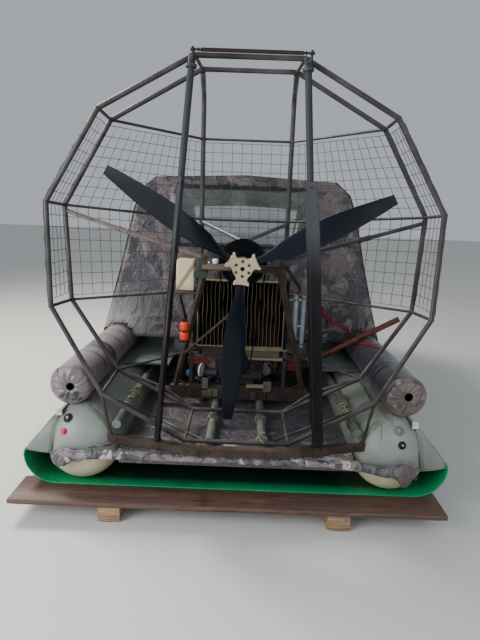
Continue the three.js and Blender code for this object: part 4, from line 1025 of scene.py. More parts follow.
class AIRBOAT_OT_rudders(bpy.types.Operator):
    """Two air rudders on leaning posts and the tie rod between their arms"""
    bl_idname = "airboat.rudders"
    bl_label = "Rudders"

    def execute(self, context):
        board = ((408, 55, 100), (300, 80, 130), (150, 90, 150), (-860, 90, 150), (-862, 24, 150), (-925, 22, 120))
        turn = math.radians(8)
        c, sn = math.cos(turn), math.sin(turn)
        for side, s in SIDES:
            form = Form()
            form.tube([post_at(418, s), post_at(2340, s)], 17, 28)
            form.tube([post_at(388, s), post_at(422, s)], 6, 16)
            form.bolt(post_at(386, s), (0, 0, -1), 9, 8)
            form.turned(post_at(419, s), (0, 0, 1), ((0, 15), (0, 21), (7, 21), (9, 17.5)), 24)
            rings = []
            for h, ahead, behind in self.rows(board):
                px, py, pz = post_at(CAGE + h, s)
                ring = []
                for u, n in ((1, 0), (0.97, 3.2), (0.86, 6), (0.5, 8.4), (0, 10), (-0.4, 8.6), (-0.75, 5.4), (-1, 2),
                             (-1, -2),
                             (-0.75, -5.4), (-0.4, -8.6), (0, -10), (0.5, -8.4), (0.86, -6), (0.97, -3.2)):
                    k = u * (ahead if u > 0 else behind)
                    ring.append((px - k * sn + n * c, py + k * c + n * sn, pz))
                rings.append(ring)
            form.rings(rings)
            for h in (380, 60, -280, -620, -850):
                low = Vector(post_at(CAGE + h, s))
                way = Vector(post_at(CAGE + h + 1, s)) - low
                form.turned(low - way.normalized() * 14, way, ((0, 17), (0, 20), (28, 20), (28, 17)), 24)
                for k in (45, -55):
                    spot = low + Vector((-k * sn, k * c, 0))
                    form.bolt(spot + Vector((c, sn, 0)) * 8.5, (c, sn, 0), 5, 4)
                    form.bolt(spot - Vector((c, sn, 0)) * 8.5, (-c, -sn, 0), 5, 4)
            axis = Vector(post_at(2340, s))
            arm = Vector((axis.x + 70 * sn, axis.y - 70 * c, 2316))
            form.tube([post_at(2316, s), arm], 6, 14)
            form.tube([arm - Vector((0, 0, 9)), arm + Vector((0, 0, 36))], 6, 18)
            form.bolt(arm - Vector((0, 0, 8)), (0, 0, -1), 7, 6)
            form.make("rudder_board_" + side, "rudder_paint", "rudder_paint", "rudder_" + side, 30,
                      body="rudder_" + side)
        pin = Vector(post_at(2340))
        y, x = pin.y - 70 * c, 70 * sn
        left, right = Vector((-pin.x + x, y, 2340)), Vector((pin.x + x, y, 2340))
        form = Form()
        form.collar(left - Vector((0, 0, 5)), (0, 0, 1), 6.8, 12, 10, 28)
        form.collar(right - Vector((0, 0, 5)), (0, 0, 1), 8, 13, 10, 28)
        step = Vector((1, 0, 0))
        form.tube([left + step * 10, right - step * 10.5], 4.5, 14)
        form.turned(left + step * 34, step, ((0, 5), (3, 8.5), ((right - left).length - 71, 8.5),
                                             ((right - left).length - 68, 5)), 20)
        for p, way in ((left + step * 22, step), (right - step * 22, -step)):
            form.turned(p, way, ((0, 8), (7, 8)), 6)
        form.make("tie_rod_link", "rod_steel", "rod_steel", "tie_rod", 30, body="tie_rod")
        return {"FINISHED"}

    def rows(self, board):
        """Rows of a rudder board, close enough together for its curve."""
        out = []
        for (h0, a0, b0), (h1, a1, b1) in zip(board, board[1:]):
            count = max(1, round(abs(h0 - h1) / 60))
            out.extend(between((h0, a0, b0), (h1, a1, b1), k / count) for k in range(count))
        return [*out, board[-1]]


def bow_line(x0, z0, lift):
    """Path of a tube from the end of its straight side to the middle of the bow, each point with its share."""
    line = [(Vector((x0, 3790, z0)), 0.0)]
    for part in (i / 24 for i in range(1, 25)):
        t = part * math.pi / 2
        line.append((Vector((x0 * math.cos(t), 3800 + (318 + x0) * math.sin(t),
                             z0 + 290 * math.sin(t) ** 2 + lift * math.sin(2 * t) ** 2)), part))
    return line


class AIRBOAT_OT_tubes(bpy.types.Operator):
    """Inflated side tubes with their domed sterns, seams, valves and the bow"""
    bl_idname = "airboat.tubes"
    bl_label = "Inflated tubes"

    def execute(self, context):
        for side, s in SIDES:
            self.lower(side, s)
            self.upper(side, s)
        self.bow("lower", LOWER_X, LOWER_Z, 0, LOWER_R, 188, ("tube_fabric", "tube_cream", "tube_tape"))
        self.bow("upper", UPPER_X, UPPER_Z, 16, 115.5, 103.5, ("camo_tube", "camo_tube", "tube_tape"))
        return {"FINISHED"}

    def ring(self, centre, side, up, radius, sides, shape):
        """One ring of a tube; shape gives the factor on the radius at an angle."""
        return [centre + (side * math.cos(a) + up * math.sin(a)) * (radius * shape(a)) for a in turns(sides, 0.5)]

    def skin(self, form, rings, marks):
        """Closed tube through rings, its faces marked by the angle and the place along the tube."""
        n = len(rings[0])
        base = len(form.points)
        form.points.extend(tuple(p) for ring in rings for p in ring)
        for i in range(len(rings) - 1):
            for k in range(n):
                a, b, after = base + i * n, base + (i + 1) * n, (k + 1) % n
                form.faces.append((a + k, a + after, b + after, b + k))
                form.marks.append(marks(i, (k + 1) * 2 * math.pi / n))
        for first, turn in ((0, True), ((len(rings) - 1) * n, False)):
            cap = tuple(base + first + k for k in range(n))
            form.faces.append(tuple(reversed(cap)) if turn else cap)
            form.marks.append(marks(0 if turn else len(rings) - 2, -1.0))

    def lower(self, side, s):
        """Skin of one lower tube with its tapes, end and valves."""
        seams = (40, 1150, 2300, 3400)
        stations = [(60 - 160 * k, k) for k in (0.997, 0.985, 0.96, 0.92, 0.86, 0.78, 0.68, 0.56, 0.43, 0.3, 0.16)]
        ys = sorted({60, 100, 3790, *range(180, 3790, 90),
                     *(y + g for y in seams for g in (-19, -16, 16, 19) if y > 60)})
        stations += [(y, 0.0) for y in ys]
        rings = []
        for y, k in stations:
            taped = any(abs(y - m) < 17 for m in seams[1:])

            def shape(a, y=y, k=k):
                power = 2 + 0.9 * max(0.0, -math.sin(a))
                dome = (1 - k ** power) ** (1 / power) if k else 1.0
                sag = 0.7 * uneven(math.cos(a) * 2, y / 240, math.sin(a) * 2 + s)
                return dome * (1 - 0.004 * abs(sag))
            centre = Vector((s * LOWER_X, y, LOWER_Z))
            rings.append(self.ring(centre, Vector((s, 0, 0)), Vector((0, 0, 1)), 212.3 if taped else 211.4, 64, shape))
        form = Form()
        self.skin(form, rings, lambda i, a: 2 if any(abs(stations[i][0] - m) < 18 for m in seams[1:]) else
                  int(self.is_low(rings[i], a)))
        self.patches(form, s)
        form.make("lower_tube_skin_" + side, ("tube_fabric", "tube_cream", "tube_tape", "valve_dark", "valve_red",
                                              "valve_pale"),
                  "grey_pvc", "lower_tube_" + side, 50)

    def is_low(self, ring, a):
        """Whether the face at an angle lies under the colour seam."""
        return a >= 0 and ring[round(a / (2 * math.pi) * len(ring)) % len(ring)].z < 297

    def patches(self, form, s):
        """Seam tapes and valves on the domed stern of a lower tube."""
        form.mark = 2
        self.tape(form, s, [(985, 505), (992, 470), (1000, 430), (1005, 390), (1009, 350), (1012, 318)], 22)
        self.tape(form, s, [(868, 556), (826, 546), (780, 524), (738, 488), (708, 444)], 16)
        if s < 0:
            self.valve(form, s, 924, 504, 27, (3, 5, 3))
            self.valve(form, s, 936, 441, 19, (4, 4, 4))
        else:
            self.tape(form, s, [(798, 540), (788, 480), (784, 434), (786, 380)], 7)
            self.valve(form, s, 883, 506, 28, (2, 0, 2))
            self.valve(form, s, 895, 440, 22, (3, 5, 3))
            self.tape(form, s, [(846, 538), (862, 540)], 34)

    def on_dome(self, s, x, z, rise=0.0):
        """Point on the stern dome of a lower tube at x and z, and the normal there."""
        u, w = (x - LOWER_X) / LOWER_R, (z - LOWER_Z) / LOWER_R
        v = math.sqrt(max(0.0, 1 - u * u - w * w))
        normal = Vector((s * u / LOWER_R, -v / 160, w / LOWER_R)).normalized()
        return Vector((s * x, 60 - 160 * v, z)) + normal * rise, normal

    def tape(self, form, s, line, wide):
        """Raised tape on the dome along a line of places."""
        spots = along([(x, z, 0) for x, z in line], 14)
        rows = []
        for i, (x, z, _) in enumerate(spots):
            a, b = spots[max(0, i - 1)], spots[min(len(spots) - 1, i + 1)]
            across = Vector((b[1] - a[1], a[0] - b[0])).normalized() * (wide / 2)
            rows.append([self.on_dome(s, x + across.x * k, z + across.y * k, rise)[0] for k, rise in (
                (-1.0, -1.0), (-0.9, 1.0), (0.0, 1.4), (0.9, 1.0), (1.0, -1.0))])
        form.cloth(rows)

    def valve(self, form, s, x, z, r, marks):
        """Round valve: its flange, its cap and the pin in the middle."""
        spot, normal = self.on_dome(s, x, z)
        form.mark = marks[0]
        form.turned(spot - normal * 3, normal, ((0, r), (5, r), (6.5, r - 3), (5.5, r * 0.72)), 28)
        form.mark = marks[2]
        form.turned(spot, normal, ((2, r * 0.66), (8, r * 0.62), (10, r * 0.5)), 24)
        form.mark = marks[1]
        form.turned(spot + normal * 9, normal, ((0, r * 0.24), (3, r * 0.22)), 14)
        form.mark = 2

    def upper(self, side, s):
        """Skin of one upper tube with its cap."""
        # Raised dark rings round the tube: the five near the stern are painted shadows of the net, the three forward
        # ones are seams.
        seams = (330, 560, 740, 900, 1060, 1700, 2400, 3100)
        ys = sorted({40, 3790, *range(60, 3790, 45), *(y + g for y in seams for g in (-8, -5, 5, 8))})
        rings = []
        for y in ys:
            taped = any(abs(y - m) < 6 for m in seams)

            def shape(a, y=y):
                folds = uneven(math.cos(a) * 2.2, y / 130, math.sin(a) * 2.2 + s * 4)
                creases = abs(uneven(math.cos(a) * 5, y / 260 + a, math.sin(a) * 5))
                return 1 - 0.012 * (0.5 + folds) - 0.02 * max(0.0, 0.18 - creases)
            centre = Vector((s * UPPER_X, y, UPPER_Z))
            rings.append(self.ring(centre, Vector((s, 0, 0)), Vector((0, 0, 1)), 116.2 if taped else UPPER_R, 56,
                                   shape))
        form = Form()
        # Mark 1 is a darker band on the inboard side of the port tube, 395 to 560 mm from its stern end.
        self.skin(form, rings, lambda i, a: 2 if any(abs(ys[i] - m) < 7 for m in seams) else
                  int(s < 0 and 395 < ys[i] < 560 and math.cos(a) < 0.35))
        self.cap(form, s)
        # Each side takes its own copy of the cloth: lighter on port as painted light, darker on starboard as painted
        # shade.
        form.make("upper_tube_skin_" + side, ("camo_tube_" + side, "camo_navy", "seam_dark", "camo_cap_" + side,
                                              "dark_hole"),
                  "camo_cloth", "upper_tube_" + side, 50)

    def cap(self, form, s):
        """Gathered end of an upper tube, drawn in round a small hole lined black as painted shade."""
        form.mark = 3
        hole = 24 if s > 0 else 17
        off = (s * 8, 14) if s > 0 else (-s * 10, -4)
        rings = []
        for t in (1.0, 0.96, 0.9, 0.82, 0.72, 0.62, 0.52, 0.42, 0.34, 0.26, 0.2):
            ring = []
            depth = 38 * (1 - t ** 3.2) ** 0.75 - 7 * max(0.0, (0.34 - t) / 0.14)
            shift = (1 - t) ** 1.4
            for a in turns(112, 0.5):
                pleat = 3.4 * math.sin(11 * a + 6 * uneven(a, t * 2, s)) * math.sin(math.pi * min(1.0, (1 - t) * 1.15))
                ring.append((s * UPPER_X + off[0] * shift + UPPER_R * t * math.cos(a), 42 - depth + pleat,
                             UPPER_Z + off[1] * shift + UPPER_R * t * math.sin(a)))
            rings.append(ring)
        form.rings(rings, False, False)
        # The hole is lined black as painted shade.
        form.mark = 4
        centre = Vector((s * UPPER_X + off[0] * 0.75, 14, UPPER_Z + off[1] * 0.75))
        form.turned(centre, (0, 1, 0), ((0, hole), (16, hole * 0.85), (17, 1)), 24, False)

    def bow(self, level, x0, z0, lift, r, r_bow, finishes):
        """Front arc of both tubes with its seams, from one side tube to the other."""
        half = bow_line(x0, z0, lift)
        line = [(Vector((-p.x, p.y, p.z)), t) for p, t in half[:-1]] + list(reversed(half))
        rings = []
        for i, (p, t) in enumerate(line):
            before, after = line[max(0, i - 1)][0], line[min(len(line) - 1, i + 1)][0]
            way = (after - before).normalized()
            side = Vector((-way.y, way.x, 0)).normalized()
            up = way.cross(side)
            if up.z < 0:
                up.negate()
            radius = r + (r_bow - r) * ((1 + 12 * t) / 13) ** 2

            def shape(a, p=p):
                return 1 - 0.004 * abs(uneven(p.x / 200, a * 1.5, p.y / 200))
            rings.append(self.ring(p, side, up, radius + (0.9 if i % 8 == 0 else 0), 56, shape))
        form = Form()
        low = level == "lower"
        self.skin(form, rings, lambda i, a: int(low and math.sin(a) < -0.3 and a >= 0))
        form.make(level + "_tube_skin_bow", finishes, "grey_pvc" if low else "camo_cloth", level + "_tube_bow", 50)


class AIRBOAT_OT_bottom(bpy.types.Operator):
    """Green sliding bottom, the side flaps and the panels that close them at the stern"""
    bl_idname = "airboat.bottom"
    bl_label = "Sliding bottom"
    keel = 128.6
    chine = ((0, 0), (300, 0), (560, 0), (780, 0), (930, 0), (985, 0), (1022, 3), (1050, 10), (1082, 24), (1108, 42),
             (1131, 69),
             (1150, 100), (1159, 130), (1163, 160), (1160, 184), (1150, 206))
    stations = ((-70, 1, 0, 1), (1900, 1, 0, 1), (3800, 1, 0, 1), (3975, 0.99, 3, 0.9), (4150, 0.955, 14, 0.7),
                (4450, 0.84, 58, 0.35),
                (4700, 0.65, 116, 0.12), (4850, 0.46, 158, 0.04))

    def execute(self, context):
        form = Form()
        form.rings([self.ring(y) for y in (-70, -66, -50, 0, 300, 900, 1600, 2400, 3200, 3800, 3900, 3975, 4060, 4150,
                                           4300, 4450, 4580, 4700, 4850)])
        form.mark = 1
        rim = [(x, -71, self.keel + z + 2.5) for x, z in self.chine]
        form.tube([(-x, y, z) for x, y, z in reversed(rim)] + rim[1:], 3.4, 8)
        form.make("bottom_skin_shell", ("green_skin", "green_rim"), "green_skin", "bottom_skin", 40)
        for side, s in SIDES:
            self.flap(side, s)
            self.closing(side, s)
        return {"FINISHED"}

    def at_y(self, y):
        """Width, lift and curl of the bottom at y."""
        for low, high in zip(self.stations, self.stations[1:]):
            if low[0] <= y <= high[0]:
                break
        return between(low, high, (y - low[0]) / (high[0] - low[0]))

    def ring(self, y):
        """Cross section of the skin at y: its outer face and back along its inner face."""
        _, width, lift, curl = self.at_y(y)
        outer = [(x * width, self.keel + lift + z * curl) for x, z in self.chine]
        inner = []
        for i, (x, z) in enumerate(outer):
            a, b = outer[max(0, i - 1)], outer[min(len(outer) - 1, i + 1)]
            d = math.hypot(b[0] - a[0], b[1] - a[1])
            inner.append((x - (b[1] - a[1]) / d * 4.4, z + (b[0] - a[0]) / d * 4.4))
        inner[0] = (0, inner[0][1])
        ring = [(-x, y, z) for x, z in reversed(outer)] + [(x, y, z) for x, z in outer[1:]]
        return ring + [(x, y, z) for x, z in reversed(inner[1:])] + [(-x, y, z) for x, z in inner]

    def flap(self, side, s):
        """Fabric flap from the tube's seam down to the chine, slightly waved along its length."""
        form = Form()
        rows = []
        for y in [-20, 0, 30, *range(80, 3780, 60), 3780]:
            row = []
            for t in (k / 14 for k in range(15)):
                if t < 0.22:
                    a = math.radians(63 - 18 * t / 0.22)
                    x, z = LOWER_X + math.cos(a) * 217.6, LOWER_Z + math.sin(a) * 217.6
                else:
                    u = (t - 0.22) / 0.78
                    x, z = 1015.9 + (1150.5 - 1015.9) * u, 499.9 + (338.5 - 499.9) * u
                    wave = 4.5 * math.sin(math.pi * u) * uneven(y / 260, u * 1.4, s)
                    x, z = x - abs(wave), z - abs(wave) * 0.8
                row.append((s * x, y, z))
            rows.append(row)
        form.cloth(rows)
        flap = form.make("side_flap_cloth_" + side, "flap_fabric", "grey_pvc", "side_flap_" + side, 60, thick=1.6)

    def closing(self, side, s):
        """Panel that closes the flap at the stern, from the seam on the dome out to the cup's rim."""
        inner = ((972, -2, 536), (986, -6, 503), (993, -27, 466), (1001, -46, 424), (1006, -58, 380), (1011, -64, 338),
                 (1016, -66, 312 if s < 0 else 286))
        outer = ((976, -14, 540), (1019, -22, 500), (1052, -32, 459), (1086, -44, 418), (1120, -56, 377),
                 (1146, -66, 343), (1152, -70, 330 if s < 0 else 312))
        rows = []
        for k in range(25):
            t = k / 24 * (len(inner) - 1)
            i = min(int(t), len(inner) - 2)
            a = between(inner[i], inner[i + 1], t - i)
            b = between(outer[i], outer[i + 1], t - i)
            row = []
            for j in range(13):
                u = j / 12
                x, y, z = between(a, b, u)
                belly = math.sin(math.pi * u) * (2.5 + 2.5 * uneven(u * 2, k / 9, s))
                row.append((s * x, y - belly, z - 3 * math.sin(math.pi * u) * (k / 24)))
            rows.append(row)
        form = Form()
        form.cloth(rows)
        form.mark = 1
        form.tube(rows[-1], 2.6, 8)
        form.mark = 2
        for g in (0, 1):
            form.tube([(x + s * (2 + 13 * g), y - 2.2, z) for x, y, z in (row[0] for row in rows[1:])], 1.6, 6)
        form.mark = 3
        form.cloth([[(s * (962 + 5 * k + 3 * uneven(j, k, 1)), -12 - 7 * uneven(j * 0.8, k * 0.8, s * 3) - 2 * j,
                      548 - 6 * j + 3 * uneven(k, j, 2)) for k in range(8)] for j in range(7)])
        panel = form.make("closing_panel_" + side, ("flap_fabric", "tube_tape", "tube_tape", "white_cloth"),
                          "grey_pvc", (), 60, thick=1.2)


class AIRBOAT_OT_floor(bpy.types.Operator):
    """Inflated floor with its wrinkled camouflage cover and the rolled hem across the stern"""
    bl_idname = "airboat.floor"
    bl_label = "Floor and hem"
    roll = ((-1004, -98, 312, 8, 10), (-985, -112, 312, 22, 40), (-955, -124, 310, 28, 58), (-925, -130, 314, 30, 60),
            (-895, -132, 326, 30, 46),
            (-860, -132, 338, 28, 31), (-770, -134, 346, 26, 27), (-640, -132, 345, 25, 26), (-300, -113, 331, 22, 22),
            (0, -110, 329, 22, 22),
            (500, -117, 331, 22, 23), (640, -133, 336, 25, 27), (760, -147, 322, 27, 30), (840, -142, 310, 27, 38),
            (885, -138, 305, 28, 58),
            (915, -134, 302, 28, 62), (945, -124, 300, 24, 48), (962, -112, 300, 12, 20))

    def execute(self, context):
        form = Form()
        rings = []
        for y in [-59.6, -56, *range(0, 3780, 90), 3796, 3799.6]:
            e = 3 if y in (-59.6, 3799.6) else 0
            half = [(648.8 - e, 330), (646 - e, 336), (640, 338)]
            ring = [(x, y, z) for x, z in half] + [(-x, y, z) for x, z in reversed(half)]
            rings.append(ring + [(-648.8 + e, y, 268), (-640, y, 262.5), (640, y, 262.5), (648.8 - e, y, 268)])
        form.rings(rings)
        core = form.make("floor_core", "camo_floor", "camo_cloth", "floor", 30)
        xs = [x * 12 - 648 for x in range(109)]
        ys = [-61.5, -59, *range(-50, 1150, 13), *range(1150, 3800, 60), 3799]
        form = Form()
        form.cloth([[(x, y, self.height(x, y)) for x in xs] for y in ys])
        corners = [form.points[face[0]] for face in form.faces]
        form.marks = [int(y < 95 + 70 * uneven(x / 130, 0, 3)) for x, y, _ in corners]
        cover = form.make("floor_cover", ("camo_floor", "camo_hem"), "camo_cloth", (), 60)
        self.apron()
        self.hem()
        return {"FINISHED"}

    def apron(self):
        """Cloth that closes the bow from the end of the floor up to the tube in front."""
        form = Form()
        rows = []
        for k in range(27):
            part = 0.82 * k / 26
            half = LOWER_X * math.sqrt(1 - part * part) - 172 + 30 * part
            rise = 343 + 262 * part * part - (6 if k == 0 else 0)
            row = []
            for i in range(41):
                x = half * (i / 20 - 1)
                y = 3802 + 1180 * part
                fold = 9 * uneven(x / 150, y / 210, 2) + 5 * uneven(x / 60, y / 70, 6)
                row.append((x, y, rise + fold * clamped((20 - abs(i - 20)) / 5) * clamped(k / 3)))
            rows.append(row)
        form.cloth(rows)
        cloth = form.make("bow_apron_cloth", "camo_floor", "camo_cloth", (), 60)

    def height(self, x, y):
        """Height of the floor's cover: its folds lie deeper towards the stern and flat under the rails."""
        deep = size("floor_folds")
        wide = 0.5 + 0.5 * uneven(x / 190, y / 260, 5)
        ridge = 1 - min(1.0, abs(uneven((x + 0.9 * y) / 210, (y - 0.35 * x) / 70)) * 3.2)
        fine = 1 - min(1.0, abs(uneven((x - y) / 90, (x + y) / 48, 9)) * 3.5)
        stern = clamped((560 - y) / 420, 0.15)
        drop = deep * (0.9 * wide + stern * (0.8 * (1 - ridge) + 0.35 * (1 - fine)))
        for rail in INNER_RAILS:
            near = clamped((abs(x - rail) - 30) / 40) if y > -10 else 1.0
            drop = drop * near + 1.2 * (1 - near)
        return 351.4 - min(12.5, drop) - (2.5 if y < -58 else 0)

    def hem(self):
        """Cloth rolled over the floor's stern edge, bunched at both of its ends."""
        rows = []
        for x, y, z in along([spot[:3] for spot in self.roll], 11):
            a, b = next((a, b) for a, b in zip(self.roll, self.roll[1:]) if a[0] <= x <= b[0])
            deep, high = between(a, b, (x - a[0]) / (b[0] - a[0]))[3:]
            held = clamped((655 - abs(x)) / 25)
            row = []
            for k in range(34):
                if k < 6:
                    u = k / 6
                    far = Vector((x, -61, 350.4 - 3 * u))
                    loose = Vector((x, y + deep * 0.75, z + high * 0.5 * u))
                    start = loose.lerp(far, held)
                    top = Vector((x, y + deep * 0.35, z + high * 0.92))
                    p = start.lerp(top, u) - Vector((0, 0, 3 * math.sin(math.pi * u)))
                else:
                    part = (k - 6) / 27
                    t = math.radians(70 + part * 275)
                    crease = max(0.0, 0.25 - abs(uneven(x / 110 + t * 0.5, t * 2.2, 7))) / 0.25
                    spin = 1 + 0.13 * uneven(x / 75, t * 1.1, 2) - 0.16 * crease - 0.16 * part
                    p = Vector((x + 3 * uneven(x / 40, t, 1), y + math.cos(t) * deep * spin,
                                z + math.sin(t) * high * spin))
                row.append(tuple(p))
            rows.append(row)
        form = Form()
        form.cloth(rows)
        form.mark = 1
        form.cloth([[(902 + 40 * r * math.cos(t), -160 - lift - 2 * uneven(math.cos(t) * 2, math.sin(t) * 2, r),
                      304 + 68 * r * math.sin(t)) for t in (*turns(40), 2 * math.pi)]
                    for r, lift in ((1.0, 0), (0.86, 5), (0.6, 9), (0.3, 11), (0.04, 11))])
        form.mark = 0
        for k in range(5):
            x, y, z = 948, -140 + 4 * k, 345 - 17 * k
            tip = (1002 + 9 * math.sin(k * 2.1), -100 + 3 * k, 335 - 15 * k)
            middle = (x + tip[0]) / 2
            form.cloth([[(x, y, z), (x, y, z - 17)], [(middle, -124, z - 4), (middle, -122, z - 19)],
                        [tip, (tip[0] - 10, tip[1], tip[2] - 12)]])
        form.cloth([[(-800 + 120 * u, -100 + 30 * u, 366 + 22 * u * v + 3 * uneven(u * 3, v * 2, 4))
                     for v in (0, 0.5, 1)] for u in (k / 8 for k in range(9))])
        hem = form.make("stern_hem_roll", ("camo_hem", "camo_cap_starboard"), "camo_cloth", "stern_hem", 50, thick=1.4)


class AIRBOAT_OT_rails(bpy.types.Operator):
    """Four rails on the tubes and the floor, their rope lashings and brackets"""
    bl_idname = "airboat.rails"
    bl_label = "Rails and lashings"

    def execute(self, context):
        rope = Form()
        table = (("outer_port", -661, 475.6, -30, ((165, 11, 17, 0.5), (395, 6, 13, 0.2))),
                 ("inner_port", -150, 378.3, 0, ((275, 4, 12, 0.3),)),
                 ("inner_starboard", 146, 378.3, 0, ((14, 4, 11, 0.3), (290, 5, 12, 0.4))),
                 ("outer_starboard", 661, 475.6, -30, ((70, 4, 12, 0.4), (170, 9, 24, 0.7), (410, 5, 13, 0.3))))
        for name, x, z, start, windings in table:
            length = 1150 - start
            form = Form()
            form.turned((x, start, z), (0, 1, 0), (
                (0, 17), (0, 24.4), (1.2, 25.7), *((y, 25.7) for y in range(60, length, 60)),
                (length - 1.2, 25.7), (length, 24.4), (length, 17)), 36)
            form.collar((x, start + 42, z), (0, 1, 0), 25, 26, 16, 36)
            form.make("rail_tube_" + name, "rail_fabric", "grey_pvc", "rail_" + name, 40)
            for y, turns, pitch, slant in windings:
                self.lashing(rope, x, y, z, turns, pitch, slant)
        rope.make("rail_lashings", "rope", "camo_cloth", (), 60)
        form = Form()
        for x, side in zip(INNER_RAILS, (1, -1)):
            form.box(x - 34, x - 29, 566, 654, 404.8, 468)
            form.box(x + 29, x + 34, 566, 654, 404.8, 468)
            form.box(x - 34, x + 34, 574, 646, 464.8, 470)
            form.box(x + side * 36, x + side * 66, 572, 579, 408, 462)
            for k in (-1, 1):
                for y in (592, 628):
                    form.bolt((x + 20 * k, y, 470), (0, 0, 1), 6, 5)
        form.make("rail_brackets", "bolt_steel", "brown_steel", (), 30, 0.8)
        return {"FINISHED"}

    def lashing(self, form, x, y, z, turns, pitch, slant):
        """Rope wound round a rail, with crossed turns, a knot and two short ends laid along the rail."""
        r = size("rope_size") * 0.8
        line = []
        steps = 20
        for i in range(turns * steps + 1):
            a = i * 2 * math.pi / steps
            t = i / steps
            loose = 26.4 + r + 1.6 * (0.5 + 0.5 * uneven(t * 1.7, y / 50, x / 100))
            if abs(x) < 400 and math.sin(a) < -0.55:
                loose = 26.0 + r * 0.2
            line.append((x + loose * math.cos(a), y + pitch * (t + slant * math.sin(a * 0.5 + y)),
                         z + loose * math.sin(a)))
        form.tube(line, r, 8)
        top = z + 27 + 2.2 * r
        middle = y + pitch * turns * 0.5
        for k, turn in enumerate((0.2, 1.1, 2.2)):
            form.hoop((x + 4 * (k - 1), middle + 5 * math.sin(k * 2), top + 1.5 * k),
                      (math.cos(turn), math.sin(turn), 0.35 * (k - 1)), 8.5, r * 0.9, 18, 8)
        for k in (-1, 1):
            end = [(x + 5 * k, middle + 4 * k, top)]
            for i in range(1, 9):
                bend = 12 * math.sin(i * 0.5) * k
                end.append((x + 5 * k + bend, middle + (9 * i) * k, top + 4 * math.sin(i * 0.7) - 1.1 * i))
            form.tube(end, r * 0.85, 7)


# Half outline of the tent from its foot to the ridge, and the edges of the rear window
TENT = ((1054.6, 694), (1030, 776), (963, 1000), (880, 1300), (800, 1640), (745, 1780), (640, 1870), (0, 1900))
WINDOW_X, WINDOW_LOW, WINDOW_HIGH = 480, 1400, 1810


def roof(x):
    """Height of the tent's roof at x."""
    return 1900 - 30 * abs(x) / 640 if abs(x) < 640 else 1870 - (abs(x) - 640) * 90 / 105


def tent_side(z):
    """Half width of the tent at a height."""
    for (x0, z0), (x1, z1) in zip(TENT, TENT[1:]):
        if z0 <= z <= z1:
            return x0 + (x1 - x0) * (z - z0) / (z1 - z0)
    return 0


